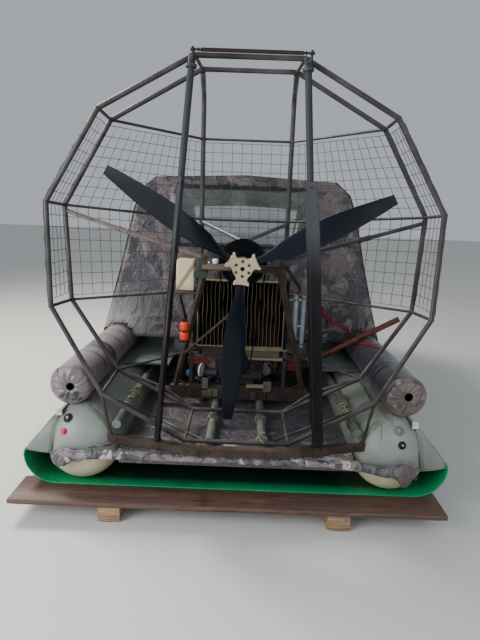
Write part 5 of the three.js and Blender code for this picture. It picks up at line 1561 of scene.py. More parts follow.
class AIRBOAT_OT_tent(bpy.types.Operator):
    """Crew tent in camouflage cloth with its poles, bindings and clear films"""
    bl_idname = "airboat.tent"
    bl_label = "Crew tent"

    def execute(self, context):
        form = Form()
        self.body(form)
        self.wall(form, 1060.5, 1)
        self.wall(form, 3419, -1)
        cloth = form.make("tent_cloth", "camo_tent", "camo_cloth", "tent", 60, thick=1.5)
        self.bindings()
        self.poles()
        self.films()
        return {"FINISHED"}

    def frame_at(self, y):
        """How much the tent narrows and drops at y, towards its front."""
        if y <= 2800:
            return 0.02 * (y - 1060) / 1740, 0.0
        t = (y - 2800) / 620
        return 0.02 + 0.06 * t, 0.62 * t

    def spot(self, x, z, y, inside=0.0):
        """Point of the tent's skin whose place at the foot of the tent is x, z."""
        narrow, drop = self.frame_at(y)
        up = max(0.0, z - 800)
        centre = Vector((0, z * 0.55 + 420))
        way = (Vector((x, z)) - centre).normalized()
        px, pz = x - way.x * inside, z - way.y * inside
        return Vector((px * (1 - narrow * up / 1100), y, pz - up * drop))

    def outline(self):
        """Points of the tent's outline from side to side."""
        half = [*TENT[:2], (998.9, 880), *TENT[2:4], (809.4, 1600), *TENT[4:7], (600, 1871.9), TENT[7]]
        half = [p[:2] for p in along([(x, z, 0) for x, z in half], 42)]
        return half + [(-x, z) for x, z in reversed(half[:-1])]

    def over_tube(self, x, z):
        """Whether a place lies inside an upper tube."""
        return (abs(x) - UPPER_X) ** 2 + (z - UPPER_Z) ** 2 < 118.5 ** 2

    def depth(self, x, y, z, clear):
        """How far a fold lies inside the tent's outer face; clear is the distance to the nearest cut edge."""
        full = size("tent_folds")
        long = 0.5 + 0.5 * uneven(x / 320, y / 300, z / 420)
        ridge = 1 - min(1.0, abs(uneven((x + z * 0.4) / 210, (y - z * 0.6) / 170, z / 360)) * 3)
        return (1.0 + full * (0.55 * long + 0.45 * (1 - ridge))) * clamped(clear / 70) + 0.6

    def body(self, form):
        """Sides and roof of the tent, cut open at the doors and the windscreen."""
        line = self.outline()
        ys = sorted({1060, 1062, 1750, 2450, 2800, 2950, 3350, 3418, *range(1095, 1740, 38), *range(1790, 2440, 42),
                     *range(2490, 2780, 42), *range(2840, 2940, 40), *range(2990, 3340, 40)})
        rows = []
        for y in ys:
            row = []
            for x, z in line:
                door = max(abs(y - 2100) - 350, abs(z - 1240) - 360)
                front = max(abs(x) - 600, abs(y - 3150) - 200)
                clear = min(door if door > 0 and abs(x) > 700 else 999, front if front > 0 and z > 1700 else 999,
                            y - 1060, 3420 - y)
                seam = min(abs(y - m) for m in (1060, 2000, 2800, 3420))
                row.append(tuple(self.spot(x, z, y, self.depth(x, y, z, min(clear, seam * 0.8)))))
            rows.append(row)

        def keep(a, b):
            x, y, low = between(a, b, 0.5)
            drop = self.frame_at(y)[1]
            z = (low - 800 * drop) / (1 - drop)
            door = 1750 < y < 2450 and 880 < z < 1600 and abs(x) > 700
            front = 2950 < y < 3350 and z > 1845 and abs(x) < 585
            return not (door or front or self.over_tube(x, low))

        form.cloth(rows, keep)

    def wall(self, form, y, way):
        """End wall, cut open where the rear window sits."""
        narrow, drop = self.frame_at(min(y, 3420))
        rows = []
        for z in (694, *range(720, 1400, 36), 1400, *range(1435, 1800, 36), WINDOW_HIGH):
            beside = tent_side(z) - WINDOW_X
            rows.append([(x, z) for x in (
                *(-tent_side(z) + beside * k / 13 for k in range(13)), *range(-WINDOW_X, WINDOW_X + 1, 40),
                *(WINDOW_X + beside * (k + 1) / 13 for k in range(13)))])
        for part in (0.35, 0.7, 1.0):
            rows.append([(x, WINDOW_HIGH + part * (roof(x) - WINDOW_HIGH)) for x, _ in rows[-1]])
        out = []
        for row in rows:
            line = []
            for x, z in row:
                edge = min(tent_side(min(z, WINDOW_HIGH)) - abs(x), z - 694 + 40, roof(x) - z)
                hole = max(abs(x) - WINDOW_X, abs(z - 1605) - 205)
                fold = 1
                if way > 0 or edge > 0:
                    fold = self.depth(x, y, z, min(edge, hole if way > 0 and hole > 0 else 999))
                up = max(0.0, z - 800)
                line.append((x * (1 - narrow * up / 1100), y + way * fold, z - up * drop))
            out.append(line)

        def keep(a, b):
            x, _, z = between(a, b, 0.5)
            window = way > 0 and abs(x) < WINDOW_X and WINDOW_LOW < z < WINDOW_HIGH
            return not (window or self.over_tube(x, z))

        form.cloth(out, keep)

    def bindings(self):
        """Tapes sewn round the window, the doors and the windscreen, and down the rear corners."""
        form = Form()
        x, low, high = WINDOW_X, WINDOW_LOW, WINDOW_HIGH
        for a, b in (((-x, low), (x, low)), ((x, low), (x, high)), ((x, high), (-x, high)), ((-x, high), (-x, low))):
            form.bar((a[0], 1058.6, a[1]), (b[0], 1058.6, b[1]), 2.4, 24, (0, 0, 1) if a[1] == b[1] else (1, 0, 0))
        for s in (-1, 1):
            for a, b in (((880, 1750), (880, 2450)), ((1600, 1750), (1600, 2450)), ((880, 1750), (1600, 1750)),
                         ((880, 2450), (1600, 2450))):
                edge = (between(a, b, k / 12) for k in range(13))
                form.strip([self.spot(s * tent_side(z), z, y, -0.5) for z, y in edge], 24, 2.2, Vector((s, 0, 0.25)))
            form.tube([self.spot(s * x, z, 1061, -0.8) for x, z in TENT[2:7]], 3.2, 8)
        top, low = ([self.spot(x, roof(x), y, -0.5) for x in range(-600, 601, 100)] for y in (2950, 3350))
        for row in (top, low, [top[0], low[0]], [top[-1], low[-1]]):
            form.strip(row, 24, 2.2, (0, 0.7, 0.7))
        form.make("tent_bindings", "seam_dark", "camo_cloth", (), 40)
        self.strap()

    def strap(self):
        """Red strap that holds the tent's starboard corner down over the upper tube."""
        form = Form()
        knots = [(x, 1057.5, z) for x, z in ((577, 981), (626, 922), (676, 855), (730, 842), (783, 826), (808, 800))]
        form.bar(knots[0], knots[1], 3, 34, (0, 0, 1))
        form.strip(knots[1:], 3, 24, (0, 0, 1))
        degrees = [146 - 5.6 * k for k in range(12)]
        over = [(UPPER_X + 119.6 * math.cos(t), 940 - 32 * k, UPPER_Z + 119.6 * math.sin(t))
                for k, t in enumerate(math.radians(d) for d in degrees)]
        for d, a, b in zip(degrees, over, over[1:]):
            t = math.radians(d - 2.8)
            form.bar(a, b, 24, 3, (math.cos(t), 0, math.sin(t)))
        form.bar(knots[-1], over[0], 3, 24, (0, 0, 1))
        form.box(652, 690, 1052, 1057, 838, 872)
        form.make("red_strap", "strap_red", "cover_red", (), 40, 0.6)

    def poles(self):
        """Bent poles under the cloth and the bars between them."""
        form = Form()
        hoops = (1088, 1715, 2485, 2792)
        line = [*TENT[1:], *((-x, z) for x, z in reversed(TENT[1:-1]))]
        for y in hoops:
            form.tube([self.spot(x, z, y, 26) for x, z in line], 11, 14)
        for x, z in ((-1010, 846), (1010, 846), (-745, 1780), (745, 1780), (0, 1900)):
            form.tube([self.spot(x, z, y, 26) for y in hoops], 8, 12)
        form.make("tent_poles", "strut_tube", "strut_tube", (), 40)

    def films(self):
        """Clear films that sag a little between their edges."""
        form = Form()
        rows = []
        for z in range(1401, 1811, 17):
            row = []
            for x in range(-478, 479, 24):
                edge = clamped(min(479 - abs(x), z - WINDOW_LOW, WINDOW_HIGH - z) / 60)
                sag = 4.0 * uneven(x / 150, z / 110, 3) + 3.5 * uneven((x + z) / 60, (z - x * 0.4) / 55, 8)
                row.append((x, 1065 + edge * sag, min(z, 1809.5)))
            rows.append(row)
        form.cloth(rows)
        pane = form.make("rear_window_film", "clear_film", "clear_film", "rear_window", 60)
        form = Form()
        rows = []
        for y in range(2951, 3351, 19):
            row = []
            for x in range(-598, 599, 26):
                edge = clamped(min(599 - abs(x), y - 2950, 3350 - y) / 60)
                row.append(self.spot(x, roof(x), y, 4.6 + edge * 3 * (0.5 + uneven(x / 150, y / 110, 5))))
            rows.append(row)
        form.cloth(rows)
        pane = form.make("windscreen_film", "clear_film", "clear_film", "windscreen", 60)


class AIRBOAT_OT_crew(bpy.types.Operator):
    """Deck board, padded benches, console and steering wheel"""
    bl_idname = "airboat.crew"
    bl_label = "Crew space"
    most = 0.016  # metres that cloth pressure may move a point
    lean = 0.42
    wheel_hub = Vector((210, 2712, 1010))
    column = Vector((0, math.cos(lean), -math.sin(lean)))

    def execute(self, context):
        self.deck()
        for name, y, foot in (("rear", 1130, 574.2), ("front", 1980, 352.6)):
            self.bench(name, y, foot)
        self.console()
        self.wheel()
        return {"FINISHED"}

    def deck(self):
        """Plywood deck round the engine notch and the foot well, with its screws."""
        form = Form()
        for board in ((-856, -560, 790, 3300), (560, 856, 790, 3300), (-560, -500, 790, 1500), (500, 560, 790, 1500),
                      (-500, 500, 1120, 1500), (-560, 560, 2950, 3300)):
            form.box(*board, 559, 573.4)
        form.make("deck_plywood", "grey_board", "grey_board", "deck_board", 30)
        form = Form()
        for s in (-1, 1):
            for y in range(840, 3300, 205):
                for x in (836, 582):
                    form.turned((s * x, y, 573.2), (0, 0, 1), ((0, 6), (1.2, 6), (1.6, 4)), 12)
        form.make("deck_screws", "bolt_steel", "brown_steel", (), 30)

    def cushion(self, name, x0, x1, y0, y1, z0, z1, ribs, upright):
        """Padded cushion with crowned faces and sewn channels; cloth pressure swells it when allowed."""
        wide, deep, high = x1 - x0, y1 - y0, z1 - z0
        nx, ny, nz = max(4, round(wide / 30)), max(3, round(deep / 30)), max(2, round(high / 30))
        inset = 7
        places, points = {}, []

        def corner(i, j, k):
            """Number of the point at a place of the grid, made when it is first asked for."""
            if (i, j, k) not in places:
                places[i, j, k] = len(points)
                points.append((x0 + inset + (wide - 2 * inset) * i / nx, y0 + inset + (deep - 2 * inset) * j / ny,
                               z0 + inset + (high - 2 * inset) * k / nz))
            return places[i, j, k]

        faces = []
        for i in range(nx):
            for j in range(ny):
                for k, square in ((0, ((0, 0), (0, 1), (1, 1), (1, 0))), (nz, ((0, 0), (1, 0), (1, 1), (0, 1)))):
                    faces.append([corner(i + u, j + v, k) for u, v in square])
        for i in range(nx):
            for k in range(nz):
                for j, square in ((0, ((0, 0), (1, 0), (1, 1), (0, 1))), (ny, ((0, 0), (0, 1), (1, 1), (1, 0)))):
                    faces.append([corner(i + u, j, k + v) for u, v in square])
        for j in range(ny):
            for k in range(nz):
                for i, square in ((0, ((0, 0), (0, 1), (1, 1), (1, 0))), (nx, ((0, 0), (1, 0), (1, 1), (0, 1)))):
                    faces.append([corner(i, j + u, k + v) for u, v in square])
        form = Form()
        form.add(points, faces)
        pad = form.make(name, "seat_cloth", "seat_cloth", (), 60)
        self.swell(pad)
        for vertex in pad.data.vertices:
            x, y, z = vertex.co.x * 1000, (vertex.co.y - STERN) * 1000, vertex.co.z * 1000
            if ((y1 - y) / deep if upright else (z - z0) / high) > 0.6:
                seam = min(abs((x - x0) / wide - k / ribs) for k in range(1, ribs)) * wide
                dip = 9 * math.exp(-(seam / 14) ** 2)
                y, z = (y + dip, z) if upright else (y, z - dip)
            vertex.co = at(clamped(x, x0 + 0.5, x1 - 0.5), clamped(y, y0 + 0.5, y1 - 0.5),
                           clamped(z, z0 + 0.5, z1 - 0.5))
        modifier(pad, "Smooth skin", "SUBSURF", levels=1, render_levels=1)

    def swell(self, pad):
        """Swells the pad with cloth pressure and keeps the result."""
        start = [v.co.copy() for v in pad.data.vertices]
        cloth = pad.modifiers.new("Cloth", "CLOTH")
        cloth.settings.use_pressure = True
        cloth.settings.uniform_pressure_force = 4
        cloth.settings.effector_weights.gravity = 0
        cloth.settings.quality = 5
        cloth.point_cache.frame_start, cloth.point_cache.frame_end = 1, 16
        scene = bpy.context.scene
        for step in range(1, 17):
            scene.frame_set(step)
        ready = pad.evaluated_get(bpy.context.evaluated_depsgraph_get())
        ends = [v.co.copy() for v in ready.data.vertices]
        pad.modifiers.remove(cloth)
        for vertex, a, b in zip(pad.data.vertices, start, ends):
            move = b - a
            vertex.co = a + (move.normalized() * self.most if move.length > self.most else move)
        scene.frame_set(1)

    def bench(self, name, y, foot):
        """Bench box with a seat cushion and a back cushion on a panel."""
        form = Form()
        form.box(-516, 516, y + 6, y + 434, foot, 676)
        form.box(-516, 516, y + 2, y + 18, 676, 1120)
        for x in (-516, 504):
            form.box(x, x + 12, y + 2, y + 40, 676, 1120)
        form.make("bench_frame_" + name, "grey_board", "grey_board", "seat_" + name, 30, 3)
        self.cushion("seat_cushion_" + name, -518, 518, y + 72, y + 439, 677, 759, 3, False)
        self.cushion("back_cushion_" + name, -514, 514, y + 19, y + 88, 762, 1178, 3, True)

    def console(self):
        """Console with its foot, dials, knobs and the collar of the steering column."""
        form = Form()
        form.box(-418, 418, 2862, 2946, 353, 900)
        side = ((2782, 802), (2946, 802), (2946, 998), (2836, 998), (2782, 940))
        form.rings([[(x, y, z) for y, z in side] for x in (-418, -414, 0, 414, 418)])
        form.turned(self.wheel_hub + self.column * 51, self.column,
                    ((0, 25), (0, 31), (40, 32), (46, 40), (60, 42)), 28)
        form.mark = 1
        for x in (-260, -120, 20):
            form.turned((x, 2808, 970), (0, -0.73, 0.68), ((-4, 44), (6, 44), (8, 40), (5, 38), (5, 1)), 32)
        for k in range(5):
            form.turned((-360 + k * 34, 2781.5, 850), (0, -1, 0), ((0, 9), (8, 8), (9, 6)), 16)
        form.make("console_body", ("console_paint", "dial_face"), "console_paint", "console", 30, 1.5)

    def wheel(self):
        """Steering wheel: a rim with grips, three spokes and a hub cap on its column."""
        form = Form()
        hub, way = self.wheel_hub, self.column
        up = Vector((0, math.sin(self.lean), math.cos(self.lean)))
        side = Vector((1, 0, 0))
        rings = []
        for k, a in enumerate(turns(96)):
            out = side * math.cos(a) + up * math.sin(a)
            grip = 12.4 + 0.5 * math.sin(k * 2 * math.pi / 3)
            rings.append([hub + out * (165 + grip * math.cos(b)) + way * (grip * math.sin(b)) for b in turns(14)])
        form.rings(rings, True)
        for a in turns(3):
            out = side * math.cos(a) + up * math.sin(a)
            form.tube([hub + out * 18 + way * 2, hub + out * 80 + way * 4, hub + out * 156], [9, 7.5, 7], 14)
        form.turned(hub - way * 14, way, ((0, 16), (2, 24), (10, 30), (16, 30), (18, 23), (62, 23)), 32)
        form.make("wheel_rim_grip", "wheel_rim", "wheel_rim", "steering_wheel", 40, body="steering")


class AIRBOAT_OT_stands(bpy.types.Operator):
    """Weathered planks on wooden blocks"""
    bl_idname = "airboat.stands"
    bl_label = "Plank stands"

    def execute(self, context):
        for name, y0, y1, off in (("aft", -240, 0, -35), ("forward", 3250, 3490, 35)):
            form = Form()
            self.timber(form, off - 1155, off + 1155, y0, y1, 100, 128, 2.2)
            form.mark = 1
            self.timber(form, -720, -604, y0 + 20, y1 - 20, 0, 99.6, 3.5)
            self.timber(form, 500, 620, y0 + 20, y1 - 20, 0, 99.6, 3.5)
            form.make("plank_" + name, ("plank_wood", "block_wood"), "plank_wood", "stand_" + name, 50)
        return {"FINISHED"}

    def timber(self, form, x0, x1, y0, y1, z0, z1, wear):
        """Sawn timber with worn edges, its long edges slightly uneven."""
        n = max(2, round((x1 - x0) / 40))
        rings = []
        for i in range(n + 1):
            x = x0 + (x1 - x0) * i / n
            e = wear * (1 + 0.6 * uneven(x / 60, y0, z1))
            end = wear if i in (0, n) else 0
            wob = [0.9 * abs(uneven(x / 45, k * 3.1, z1)) for k in range(8)]
            a, b, c, d = y0 + end, y1 - end, z0 + end * 0.5, z1 - end
            rings.append([(x, a + e, c), (x, b - e, c), (x, b - wob[0], c + e), (x, b - wob[1], d - e),
                          (x, b - e, d - wob[2] * 0.5),
                          (x, a + e, d - wob[3] * 0.5), (x, a + wob[4], d - e), (x, a + wob[5], c + e)])
        form.rings(rings)


class AIRBOAT_OT_stand(bpy.types.Operator):
    """Propeller stand with its sleeve, brackets and stay, the front bearing and the outer struts"""
    bl_idname = "airboat.stand"
    bl_label = "Propeller stand"

    def execute(self, context):
        form = Form()
        for s in (-1, 1):
            form.bar((s * 215, 330, 1322), (s * 430, 604, 478), 29, 29)
            form.box(s * 212.6, s * 239.6, 312.5, 347.5, 1336, 1393.5)
            form.bolt((s * 239.6, 330, 1376), (s, 0, 0), 7, 6)
            form.bolt((s * 225, 311.5, 1366), (0, -1, 0), 6, 5)
            foot = Vector((s * 430, 604, 470))
            form.bar(foot + Vector((-s * 14, -4, 60)), foot + Vector((-s * 72, 0, 18)), 5, 22, (0, 1, 0))
        foot = ((586.5, 465), (629.5, 465), (629.5, 488.2), (586.5, 488.2))
        form.rings([[(x, y, z) for y, z in foot] for x in (-461.5, -200, 200, 461.5)])
        form.bar((20, 330, 1318), (235.6, 330, 1318), 41, 41)
        form.bar((-235.6, 330, 1318), (-20, 330, 1318), 20, 20)
        form.box(-19.6, 19.6, 318.5, 343.5, 1063, 1278)
        form.bar((-357, 498, 742), (-8, 324, 1096), 19.6, 13.6)
        form.turned((0, 232.4, HUB), (0, 1, 0), (
            (0, 24), (0, 43), (3, 45.8), (20, 45.8), (22, 42), (119, 42), (121, 45.8), (138, 45.8), (141.2, 43),
            (141.2, 24)), 40, False)
        for y in (243, 362):
            for s in (-1, 1):
                form.box(s * 44, s * 58, y - 8, y + 8, HUB - 9, HUB + 9)
                form.bolt((s * 51, y, HUB + 9), (0, 0, 1), 6, 5)
        form.box(-33.6, 33.6, 312.5, 347.5, HUB - 61.5, HUB - 36)
        form.box(-335.6, -312.4, 588.5, 611.5, 484, 767.4)
        brown, beige, blue, dull, line = range(5)
        for form.mark, *bar in (
                (brown, -311.6, 0, 588.5, 611.5, 750, 767.4), (beige, 0, 311.6, 588.5, 611.5, 750, 767.4),
                (brown, -311.6, 0, 588.5, 611.5, 683, 700), (beige, 0, 311.6, 588.5, 611.5, 683, 700),
                (blue, 286, 310, 588.5, 611.5, 484, 750), (brown, -250, 40, 598, 606, 701, 749),
                (line, 40, 262, 598, 606, 701, 749), (dull, -246, -206, 573, 579.6, 466, 551),
                (dull, -246, -138, 573, 579.6, 420, 476), (dull, 165, 219, 573, 579.6, 468, 541),
                (beige, 52, 166, 556, 579, 499, 519), (brown, -408, -240, 372.4, 527.6, 1149.4, 1156.6)):
            form.box(*bar)
        form.rings([[(x, y, z) for x, z in ((-404, 1149.4), (-404, 1136), (-260, 1149.4))] for y in (374, 378)])
        form.make("prop_stand_frame", ("brown_steel", "beige_rail", "leg_blue", "dull_plate", "fin_line"),
                  "brown_steel", "prop_stand", 30, 1.2)
        form = Form()
        form.tube([(-238, 326, 1320), (-228, 327, 1320), (-62, 327, 1320)], 20.4, 24)
        form.mark = 1
        form.box(-262, -236, 318, 352, 1262, 1346)
        form.box(-286, -208, 306, 312, 1256, 1296)
        form.mark = 2
        form.turned((-160, 330, 1340), (0, 0, 1), ((0, 12), (8, 17), (20, 19), (27, 15), (29, 4)), 24)
        form.turned((-200, 330, 1340), (0, 0, 1), ((0, 6), (9, 7), (11, 4)), 16)
        form.make("crossbar_sleeve", ("pale_tube", "clamp_green", "bright_knob"), "brown_steel", (), 40, 0.8)
        self.bearing()
        for side, s in SIDES:
            form = Form()
            foot, top = Vector((s * 242, 330, 1376)), Vector((s * 1004, 300.5, 1610))
            way = (top - foot).normalized()
            form.tube([foot, foot + way * 26, foot + way * 44, top - way * 40, top], [9.5, 9.5, 11.8, 11.8, 11.8], 24)
            form.hoop(top, way, 12.4, 2.4)
            form.collar(foot + way * 430, way, 11.8, 15.5, 74, 24)
            for k in (12, 62):
                form.collar(foot + way * (430 + k), way, 15, 18, 7, 24)
            form.bolt(foot + way * 14 + Vector((0, -9, 0)), (0, -1, 0), 6, 5)
            form.make("strut_tube_" + side, "strut_tube" if s < 0 else "cage_steel", "strut_tube",
                      "strut_outer_" + side, 40)
        return {"FINISHED"}

    def bearing(self):
        """Front bearing of the shaft on its post and two struts."""
        form = Form()
        form.turned((0, 446.4, HUB), (0, 1, 0),
                    ((0, 24), (0, 40), (3, 43.6), (40, 43.6), (43.2, 40), (43.2, 24)), 36, False)
        form.box(-49.6, 49.6, 450.5, 485.5, HUB + 32, HUB + 41.6)
        for s in (-1, 1):
            form.bolt((s * 38, 468, HUB + 41.6), (0, 0, 1), 7, 6)
            way = Vector((18 - 290, 468 - 840, 1472 - 1573)).normalized()
            start = Vector((s * 290, 840, 1573))
            way = Vector((s * way.x, way.y, way.z))
            form.mark = 1
            form.tube([start + way * 17, (s * 18, 468, 1472)], 12.4, 20)
            form.mark = 0
            form.hoop(start + way * 18, way, 12.6, 2.4)
        form.box(-23.6, 23.6, 458.5, 477.5, HUB + 40, 1485.5)
        form.bar((-20, 468, HUB + 46), (20, 468, 1470), 4, 18, (0, 1, 0))
        form.make("front_bearing_frame", ("brown_steel", "strut_blue"), "brown_steel", "front_bearing", 30, 1)


class AIRBOAT_OT_cooling(bpy.types.Operator):
    """Radiator with its tubes and wavy fins, the expansion tank, hoses and coolant pipes"""
    bl_idname = "airboat.cooling"
    bl_label = "Cooling"

    def execute(self, context):
        self.radiator()
        self.tank()
        self.coils()
        self.pipes()
        return {"FINISHED"}

    def radiator(self):
        """Wavy tubes and fins between two frames, with the end tanks above and below."""
        form = Form()
        x0, x1, z0, z1 = -279.6, 274.6, 778.6, 1209.4
        pitch = 26.2
        count = int((x1 - x0 - 6) / pitch)
        for i in range(count + 1):
            x = x0 + 5 + i * pitch
            rings = []
            for z in range(int(z0) + 2, int(z1), 14):
                wave = x + 2.1 * math.sin(z / 34 + i * 0.9) + 1.2 * uneven(i * 0.7, z / 60, 1)
                rings.append([(wave + u, y, z) for u, y in (
                    (-2.6, 571), (-1.8, 568), (1.8, 568), (2.6, 571), (2.6, 596), (-2.6, 596))])
            form.rings(rings)
        form.mark = 1
        for i in range(count):
            x = x0 + 7.3 + i * pitch
            steps = int((z1 - z0 - 8) / 6.5)
            rows = []
            for k in range(steps + 1):
                z = z0 + 4 + k * 6.5
                xa = x + (pitch - 4.8 if k % 2 else 0.4) + 2.1 * math.sin(z / 34 + i * 0.9)
                rows.append([(xa, 573, z), (xa, 585, z + 0.8), (xa, 595, z)])
            form.cloth(rows)
        # Black plate behind the fins as painted shade in the depth of the core.
        form.mark = 2
        form.box(x0 + 1, x1 - 1, 596.5, 599.5, z0, z1)
        form.mark = 3
        for a, b in ((x0 - 5.8, x0 + 0.6), (x1 - 0.6, x1 + 4.8)):
            form.box(a, b, 562, 603, z0 - 2, z1 + 2)
        form.mark = 4
        for a, b in ((-311.6, -286), (281, 304.6)):
            rings = []
            for k in range(19):
                z = 768.5 + k * (1219.5 - 768.5) / 18
                e = 4 if k in (0, 18) else (0 if k % 3 == 1 else 1.3)
                rings.append([(a + e, 561 + e, z), (b - e * 0.3, 561 + e, z), (b - e * 0.3, 605.4 - e, z),
                              (a + e, 605.4 - e, z)])
            form.rings(rings)
        form.mark = 3
        form.box(x0, x1, 561.5, 604.5, z1 - 3, z1 + 3.4)
        form.box(x0, x1, 561.5, 604.5, z0 - 3.4, z0 + 3)
        form.make("radiator_core", ("fin_line", "radiator_fins", "dark_hole", "beige_rail", "pulley_dark"),
                  "radiator_core", "radiator", 40)

    def tank(self):
        """Translucent tank with rounded edges, a moulded band, its cap, the clamp and the hose from its bottom."""
        form = Form()
        form.rings([rounded(-391.5, -303.5, 443.5, 516.5, 13.2 - e, z) for z, e in (
            (1157.6, 12), (1159, 6), (1163, 2), (1172, 0.8), (1220, 0.4), (1222, 2.4), (1226, 2.4), (1228, 0.4),
            (1332, 0.6), (1343, 2), (1348, 7), (1351, 16))])
        form.mark = 1
        form.turned((-326, 470, 1344), (0, 0, 1), ((0, 17), (5, 19), (5.5, 17), (7, 16)), 28)
        form.mark = 2
        hose = ((-386, 480, 1159), (-384, 478, 1130), (-378, 486, 1085), (-368, 498, 1040), (-360, 512, 1000),
                (-355, 530, 965), (-350, 556, 930), (-344, 586, 905), (-330, 612, 890))
        form.tube(curved(hose, 5), 7.5, 14)
        form.collar((-386, 480, 1146), (0, 0, 1), 7.6, 10.5, 9, 20)
        form.mark = 3
        form.box(-288, -262, 440, 520, 1160, 1222)
        form.turned((-275, 439, 1190), (0, -1, 0), ((0, 13), (7, 13), (9, 9)), 20)
        form.make("tank_shell", ("tank_plastic", "cover_red", "hose_dark", "clamp_green"), "tank_plastic",
                  "expansion_tank", 40)

    def coils(self):
        """Two orange caps on their bracket beside the radiator."""
        form = Form()
        for z in (838, 900):
            form.turned((-352, 468, z), (0, 0, 1), ((0, 20), (3, 29), (8, 31), (44, 31), (49, 29), (52, 20)), 28)
            for k in range(4):
                form.hoop((-352, 468, z + 12 + 9 * k), (0, 0, 1), 31, 1.4, 28)
        form.mark = 1
        form.box(-368, -336, 474, 500, 820, 968)
        form.bar((-352, 488, 826), (-392, 545, 800), 14, 10)
        form.make("ignition_coils", ("orange_cap", "valve_dark"), "engine_alloy", (), 40, 1)

    def pipes(self):
        """Two blue grey coolant pipes, their stubs, clamps and the elbow down from the stand."""
        form = Form()
        form.tube([(354, 600, z) for z in (773.5, 792, 796, 1102, 1108, 1137.5)], [14.5, 14.5, 16.8, 16.8, 13, 13], 28)
        form.tube([(404, 600, 780.5), (404, 600, 1125.5)], 14.6, 28)
        for z in (1098, 924):
            form.tube([(306, 590, z), (392, 599, z)], 8.6, 18)
            form.collar((312, 590.6, z), (1, 0, 0), 8.8, 11.5, 9, 24)
        form.mark = 1
        for x, z in ((354, 1094), (354, 806), (404, 1104), (404, 800)):
            form.collar((x, 600, z), (0, 0, 1), 14.4, 19.4, 10, 32)
            form.box(x - 5, x + 5, 577, 584, z + 1, z + 9)
        form.mark = 2
        elbow = [(250, 352, 1330), (262, 372, 1326), (366, 585, 1188), (374, 601, 1172), (372, 603, 1158),
                 (360, 601, 1144), (354, 600, 1133)]
        form.tube(elbow, [11, 11, 11, 11.5, 12, 13.5, 13.8], 20)
        form.make("coolant_pipe_pair", ("hose_blue", "bolt_steel", "brown_steel"), "coolant_tube", "coolant_pipes", 40)


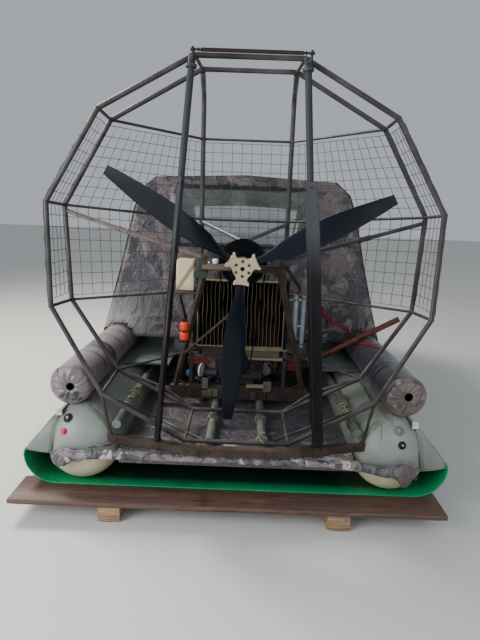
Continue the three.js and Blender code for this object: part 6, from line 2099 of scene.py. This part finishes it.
class AIRBOAT_OT_engine(bpy.types.Operator):
    """Engine with its cover, ancillaries and cradle, and the rusty exhaust"""
    bl_idname = "airboat.engine"
    bl_label = "Engine"

    def execute(self, context):
        self.block()
        self.cover()
        self.exhaust()
        self.cradle()
        self.fittings()
        return {"FINISHED"}

    def block(self):
        """Block, head and sump with their ribs and bolts, the mounts, the drives in front and the manifold."""
        form = Form()
        form.rings([[(x, y, z) for x, z in (
            (-164 + e, 540), (-150, 521 + e), (150, 521 + e), (164 - e, 540), (164 - e, 700), (150, 735),
            (138, 799 - e),
            (-138, 799 - e), (-150, 735), (-164 + e, 700))] for y, e in ((662, 6), (668, 0), (984, 0), (989, 6))])
        for y in range(690, 980, 36):
            for s in (-1, 1):
                form.box(s * 150, s * 163, y, y + 7, 560, 780)
        form.rings([[(x, y, z) for x, z in (
            (-129 + e, 800), (129 - e, 800), (129 - e, 925), (118, 958), (-118, 958), (-129 + e, 925))]
            for y, e in ((672, 5), (678, 0), (974, 0), (979, 5))])
        for k in range(9):
            form.box(-129.5, 129.5, 690 + 32 * k, 695 + 32 * k, 806, 948)
        form.rings([[(x, y, z) for x, y in (
            (-104 + e, 691 + e), (104 - e, 691 + e), (104 - e, 959 - e), (-104 + e, 959 - e))]
            for z, e in ((471, 14), (474, 5), (520, 0), (525, 0))])
        form.turned((0, 622.6, CRANK), (0, 1, 0), ((0, 28), (0, 140), (4, 149), (36, 149), (40, 144)), 56)
        for a in turns(10):
            form.bolt((136 * math.cos(a), 622.4, CRANK + 136 * math.sin(a)), (0, -1, 0), 6, 5)
        for k in range(5):
            for s in (-1, 1):
                form.bolt((s * 106, 705 + 62 * k, 525), (s * 0.1, 0, -1), 5, 4)
        for y0 in (720.5, 900.5):
            for s in (-1, 1):
                form.box(s * 120, s * 305.6, y0, y0 + 35, 450, 458)
                form.box(s * 262, s * 305.6, y0, y0 + 35, 458, 477.5)
                form.bar((s * 160, y0 + 17, 530), (s * 262, y0 + 17, 460), 8, 30, (0, 1, 0))
                form.bolt((s * 284, y0 + 17, 477.5), (0, 0, 1), 8, 7)
        form.mark = 1
        form.turned((-178, 700, 610), (0, 1, 0),
                    ((0, 22), (0, 44), (5, 50), (62, 50), (68, 44), (72, 14), (90, 14)), 32)
        form.turned((182, 700, 575), (0, 1, 0), ((0, 18), (0, 34), (4, 38), (120, 38), (124, 30)), 28)
        form.turned((182, 690, 622), (0, 1, 0), ((0, 10), (0, 16), (2, 18), (70, 18), (72, 14)), 20)
        form.mark = 2
        for k in range(4):
            y = 710 + 74 * k
            form.tube([(-128, y, 880), (-170, y, 886), (-205, y + 4, 862), (-218, y + 6, 820), (-214, y + 6, 790)],
                      17, 18)
        form.tube([(-214, 700, 785), (-214, 952, 785)], 24, 22)
        form.tube([(-214, 952, 785), (-214, 978, 790), (-196, 1000, 806), (-160, 1008, 826)], 20, 18)
        form.make("engine_body", ("engine_alloy", "strut_tube", "pulley_bright"), "engine_alloy", "engine_block",
                  35, 1)

    def cover(self):
        """Red cover with rounded edges, ribs, its bolts and the filler cap."""
        form = Form()
        form.rings([rounded(0.6 * e - 88, 88 - 0.6 * e, 702 + 0.6 * e, 948 - 0.6 * e, 11.8 - 0.4 * e, z)
                    for z, e in ((960.5, 0), (1012, 0), (1026, 4), (1035, 12), (1039, 24))])
        for k in range(5):
            form.box(-52, 52, 742 + 40 * k, 750 + 40 * k, 1036, 1039.6)
        form.mark = 1
        for x in (-92, 92):
            for y in (716, 824, 932):
                form.bolt((x, y, 1012), (0, 0, 1), 6, 6)
        form.turned((40, 724, 1033), (0, 0, 1), ((0, 16), (5, 18), (6.4, 14)), 24)
        form.make("engine_cover_shell", ("cover_red", "bolt_steel"), "cover_red", "engine_cover", 35)

    def exhaust(self):
        """Rusted pipe on a smooth line, with a ribbed collar where it leaves the engine bay."""
        form = Form()
        line = curved(((166, 759.5, 650.4), (240, 761, 647), (430, 770, 640), (600, 850, 662), (880, 876.5, 806),
                       (1128, 900, 933.6)), 8)
        form.tube(line, 20, 28, ends=False)
        form.tube(line[::-1], 17.4, 20, ends=False)
        tip, way = line[-1], (line[-1] - line[-2]).normalized()
        form.collar(tip - way * 5, way, 17.2, 20.8, 5, 28)
        spot, way = line[24], (line[25] - line[24]).normalized()
        for k in range(6):
            form.collar(spot + way * (9 * k), way, 19, 25.5 if k in (0, 5) else 23.5, 5.5, 28)
        form.collar(line[0], (line[1] - line[0]).normalized(), 19, 34, 8, 28)
        for a in turns(3):
            form.bolt(line[0] + Vector((8, 27 * math.cos(a), 27 * math.sin(a))), (1, 0, 0), 5, 5)
        form.make("exhaust_pipe", "rusty_pipe", "rusty_pipe", "exhaust", 40)

    def cradle(self):
        """Cross bars and side bars under the engine, with a bolted plate."""
        form = Form()
        form.box(-559.6, 469.6, 580.4, 639.6, 404.9, 464)
        form.box(-559.6, 469.6, 1010.4, 1059.6, 404.9, 454)
        for x in (-290, 290):
            form.box(x - 19.6, x + 19.6, 639.8, 1010.2, 409.6, 449)
            for y in (654, 996):
                form.bolt((x, y, 449), (0, 0, 1), 7, 6)
        form.mark = 1
        form.box(-552, -470, 588, 632, 464.2, 468)
        for x in (-536, -486):
            form.bolt((x, 610, 468), (0, 0, 1), 6, 5)
        form.make("cradle_frame", ("brown_steel", "bolt_steel"), "brown_steel", "engine_cradle", 30, 1.6)

    def fittings(self):
        """Small parts beside the engine: a fuel filter, a blue cap, a pale pulley disc, a can and red boxes."""
        form = Form()
        form.turned((-338, 656, 560), (0, -1, 0.1), ((0, 20), (10, 22), (40, 22), (46, 17), (50, 6)), 24)
        form.mark = 1
        form.turned((-262, 640, 585), (1, -0.35, 0), ((0, 20), (0, 44), (4, 46), (9, 46), (12, 43), (12, 18)), 36)
        form.mark = 2
        form.turned((-232, 668, 560), (1, 0, 0), ((0, 22), (4, 26), (78, 26), (82, 22)), 28)
        form.mark = 3
        form.box(-352, -210, 668, 700, 620, 662)
        form.box(330, 398, 660, 700, 596, 652)
        form.mark = 4
        form.turned((356, 648, 560), (0, -1, 0), ((0, 26), (6, 30), (26, 30), (30, 24)), 24)
        form.tube([(196, 690, 622), (240, 668, 600), (262, 652, 560), (286, 646, 520), (330, 650, 500)], 7, 12)
        form.tube([(-330, 650, 540), (-300, 640, 512), (-250, 640, 500), (-200, 650, 516), (-160, 662, 540)], 7, 12)
        form.tube([(110, 660, 780), (140, 640, 740), (196, 640, 700), (230, 650, 640)], 9, 14)
        form.make("engine_fittings", ("cap_blue", "white_cloth", "can_grey", "cover_red", "hose_dark"), "engine_alloy",
                  (), 35, 1)


PIECES = (
    AIRBOAT_OT_stage, AIRBOAT_OT_cage, AIRBOAT_OT_nets, AIRBOAT_OT_stern_beam, AIRBOAT_OT_propeller, AIRBOAT_OT_rudders,
    AIRBOAT_OT_stand, AIRBOAT_OT_cooling, AIRBOAT_OT_engine, AIRBOAT_OT_tubes, AIRBOAT_OT_bottom, AIRBOAT_OT_floor,
    AIRBOAT_OT_rails, AIRBOAT_OT_tent, AIRBOAT_OT_crew, AIRBOAT_OT_stands)


class AIRBOAT_PT_sidebar(bpy.types.Panel):
    """Steps that build the airboat, in their order"""
    bl_idname = "AIRBOAT_PT_sidebar"
    bl_label = "Airboat"
    bl_space_type = "VIEW_3D"
    bl_region_type = "UI"
    bl_category = "Airboat"

    def draw(self, context):
        for group in (context.scene.airboat_sizes, context.scene.airboat_colours):
            box = self.layout.box()
            for name in group.__annotations__:
                box.prop(group, name)
        for piece in PIECES:
            self.layout.operator(piece.bl_idname)


CLASSES = (AirboatColours, AirboatSizes, *PIECES, AIRBOAT_PT_sidebar)


def register():
    """Add the classes and the properties they read."""
    for one in CLASSES:
        bpy.utils.register_class(one)
    bpy.types.Scene.airboat_colours = PointerProperty(type=AirboatColours)
    bpy.types.Scene.airboat_sizes = PointerProperty(type=AirboatSizes)


def unregister():
    """Take the properties and the classes out again."""
    del bpy.types.Scene.airboat_sizes
    del bpy.types.Scene.airboat_colours
    for one in reversed(CLASSES):
        bpy.utils.unregister_class(one)


def main():
    """Build every piece."""
    register()
    for piece in PIECES:
        group, name = piece.bl_idname.split(".")
        getattr(getattr(bpy.ops, group), name)()


if __name__ == "__main__":
    main()
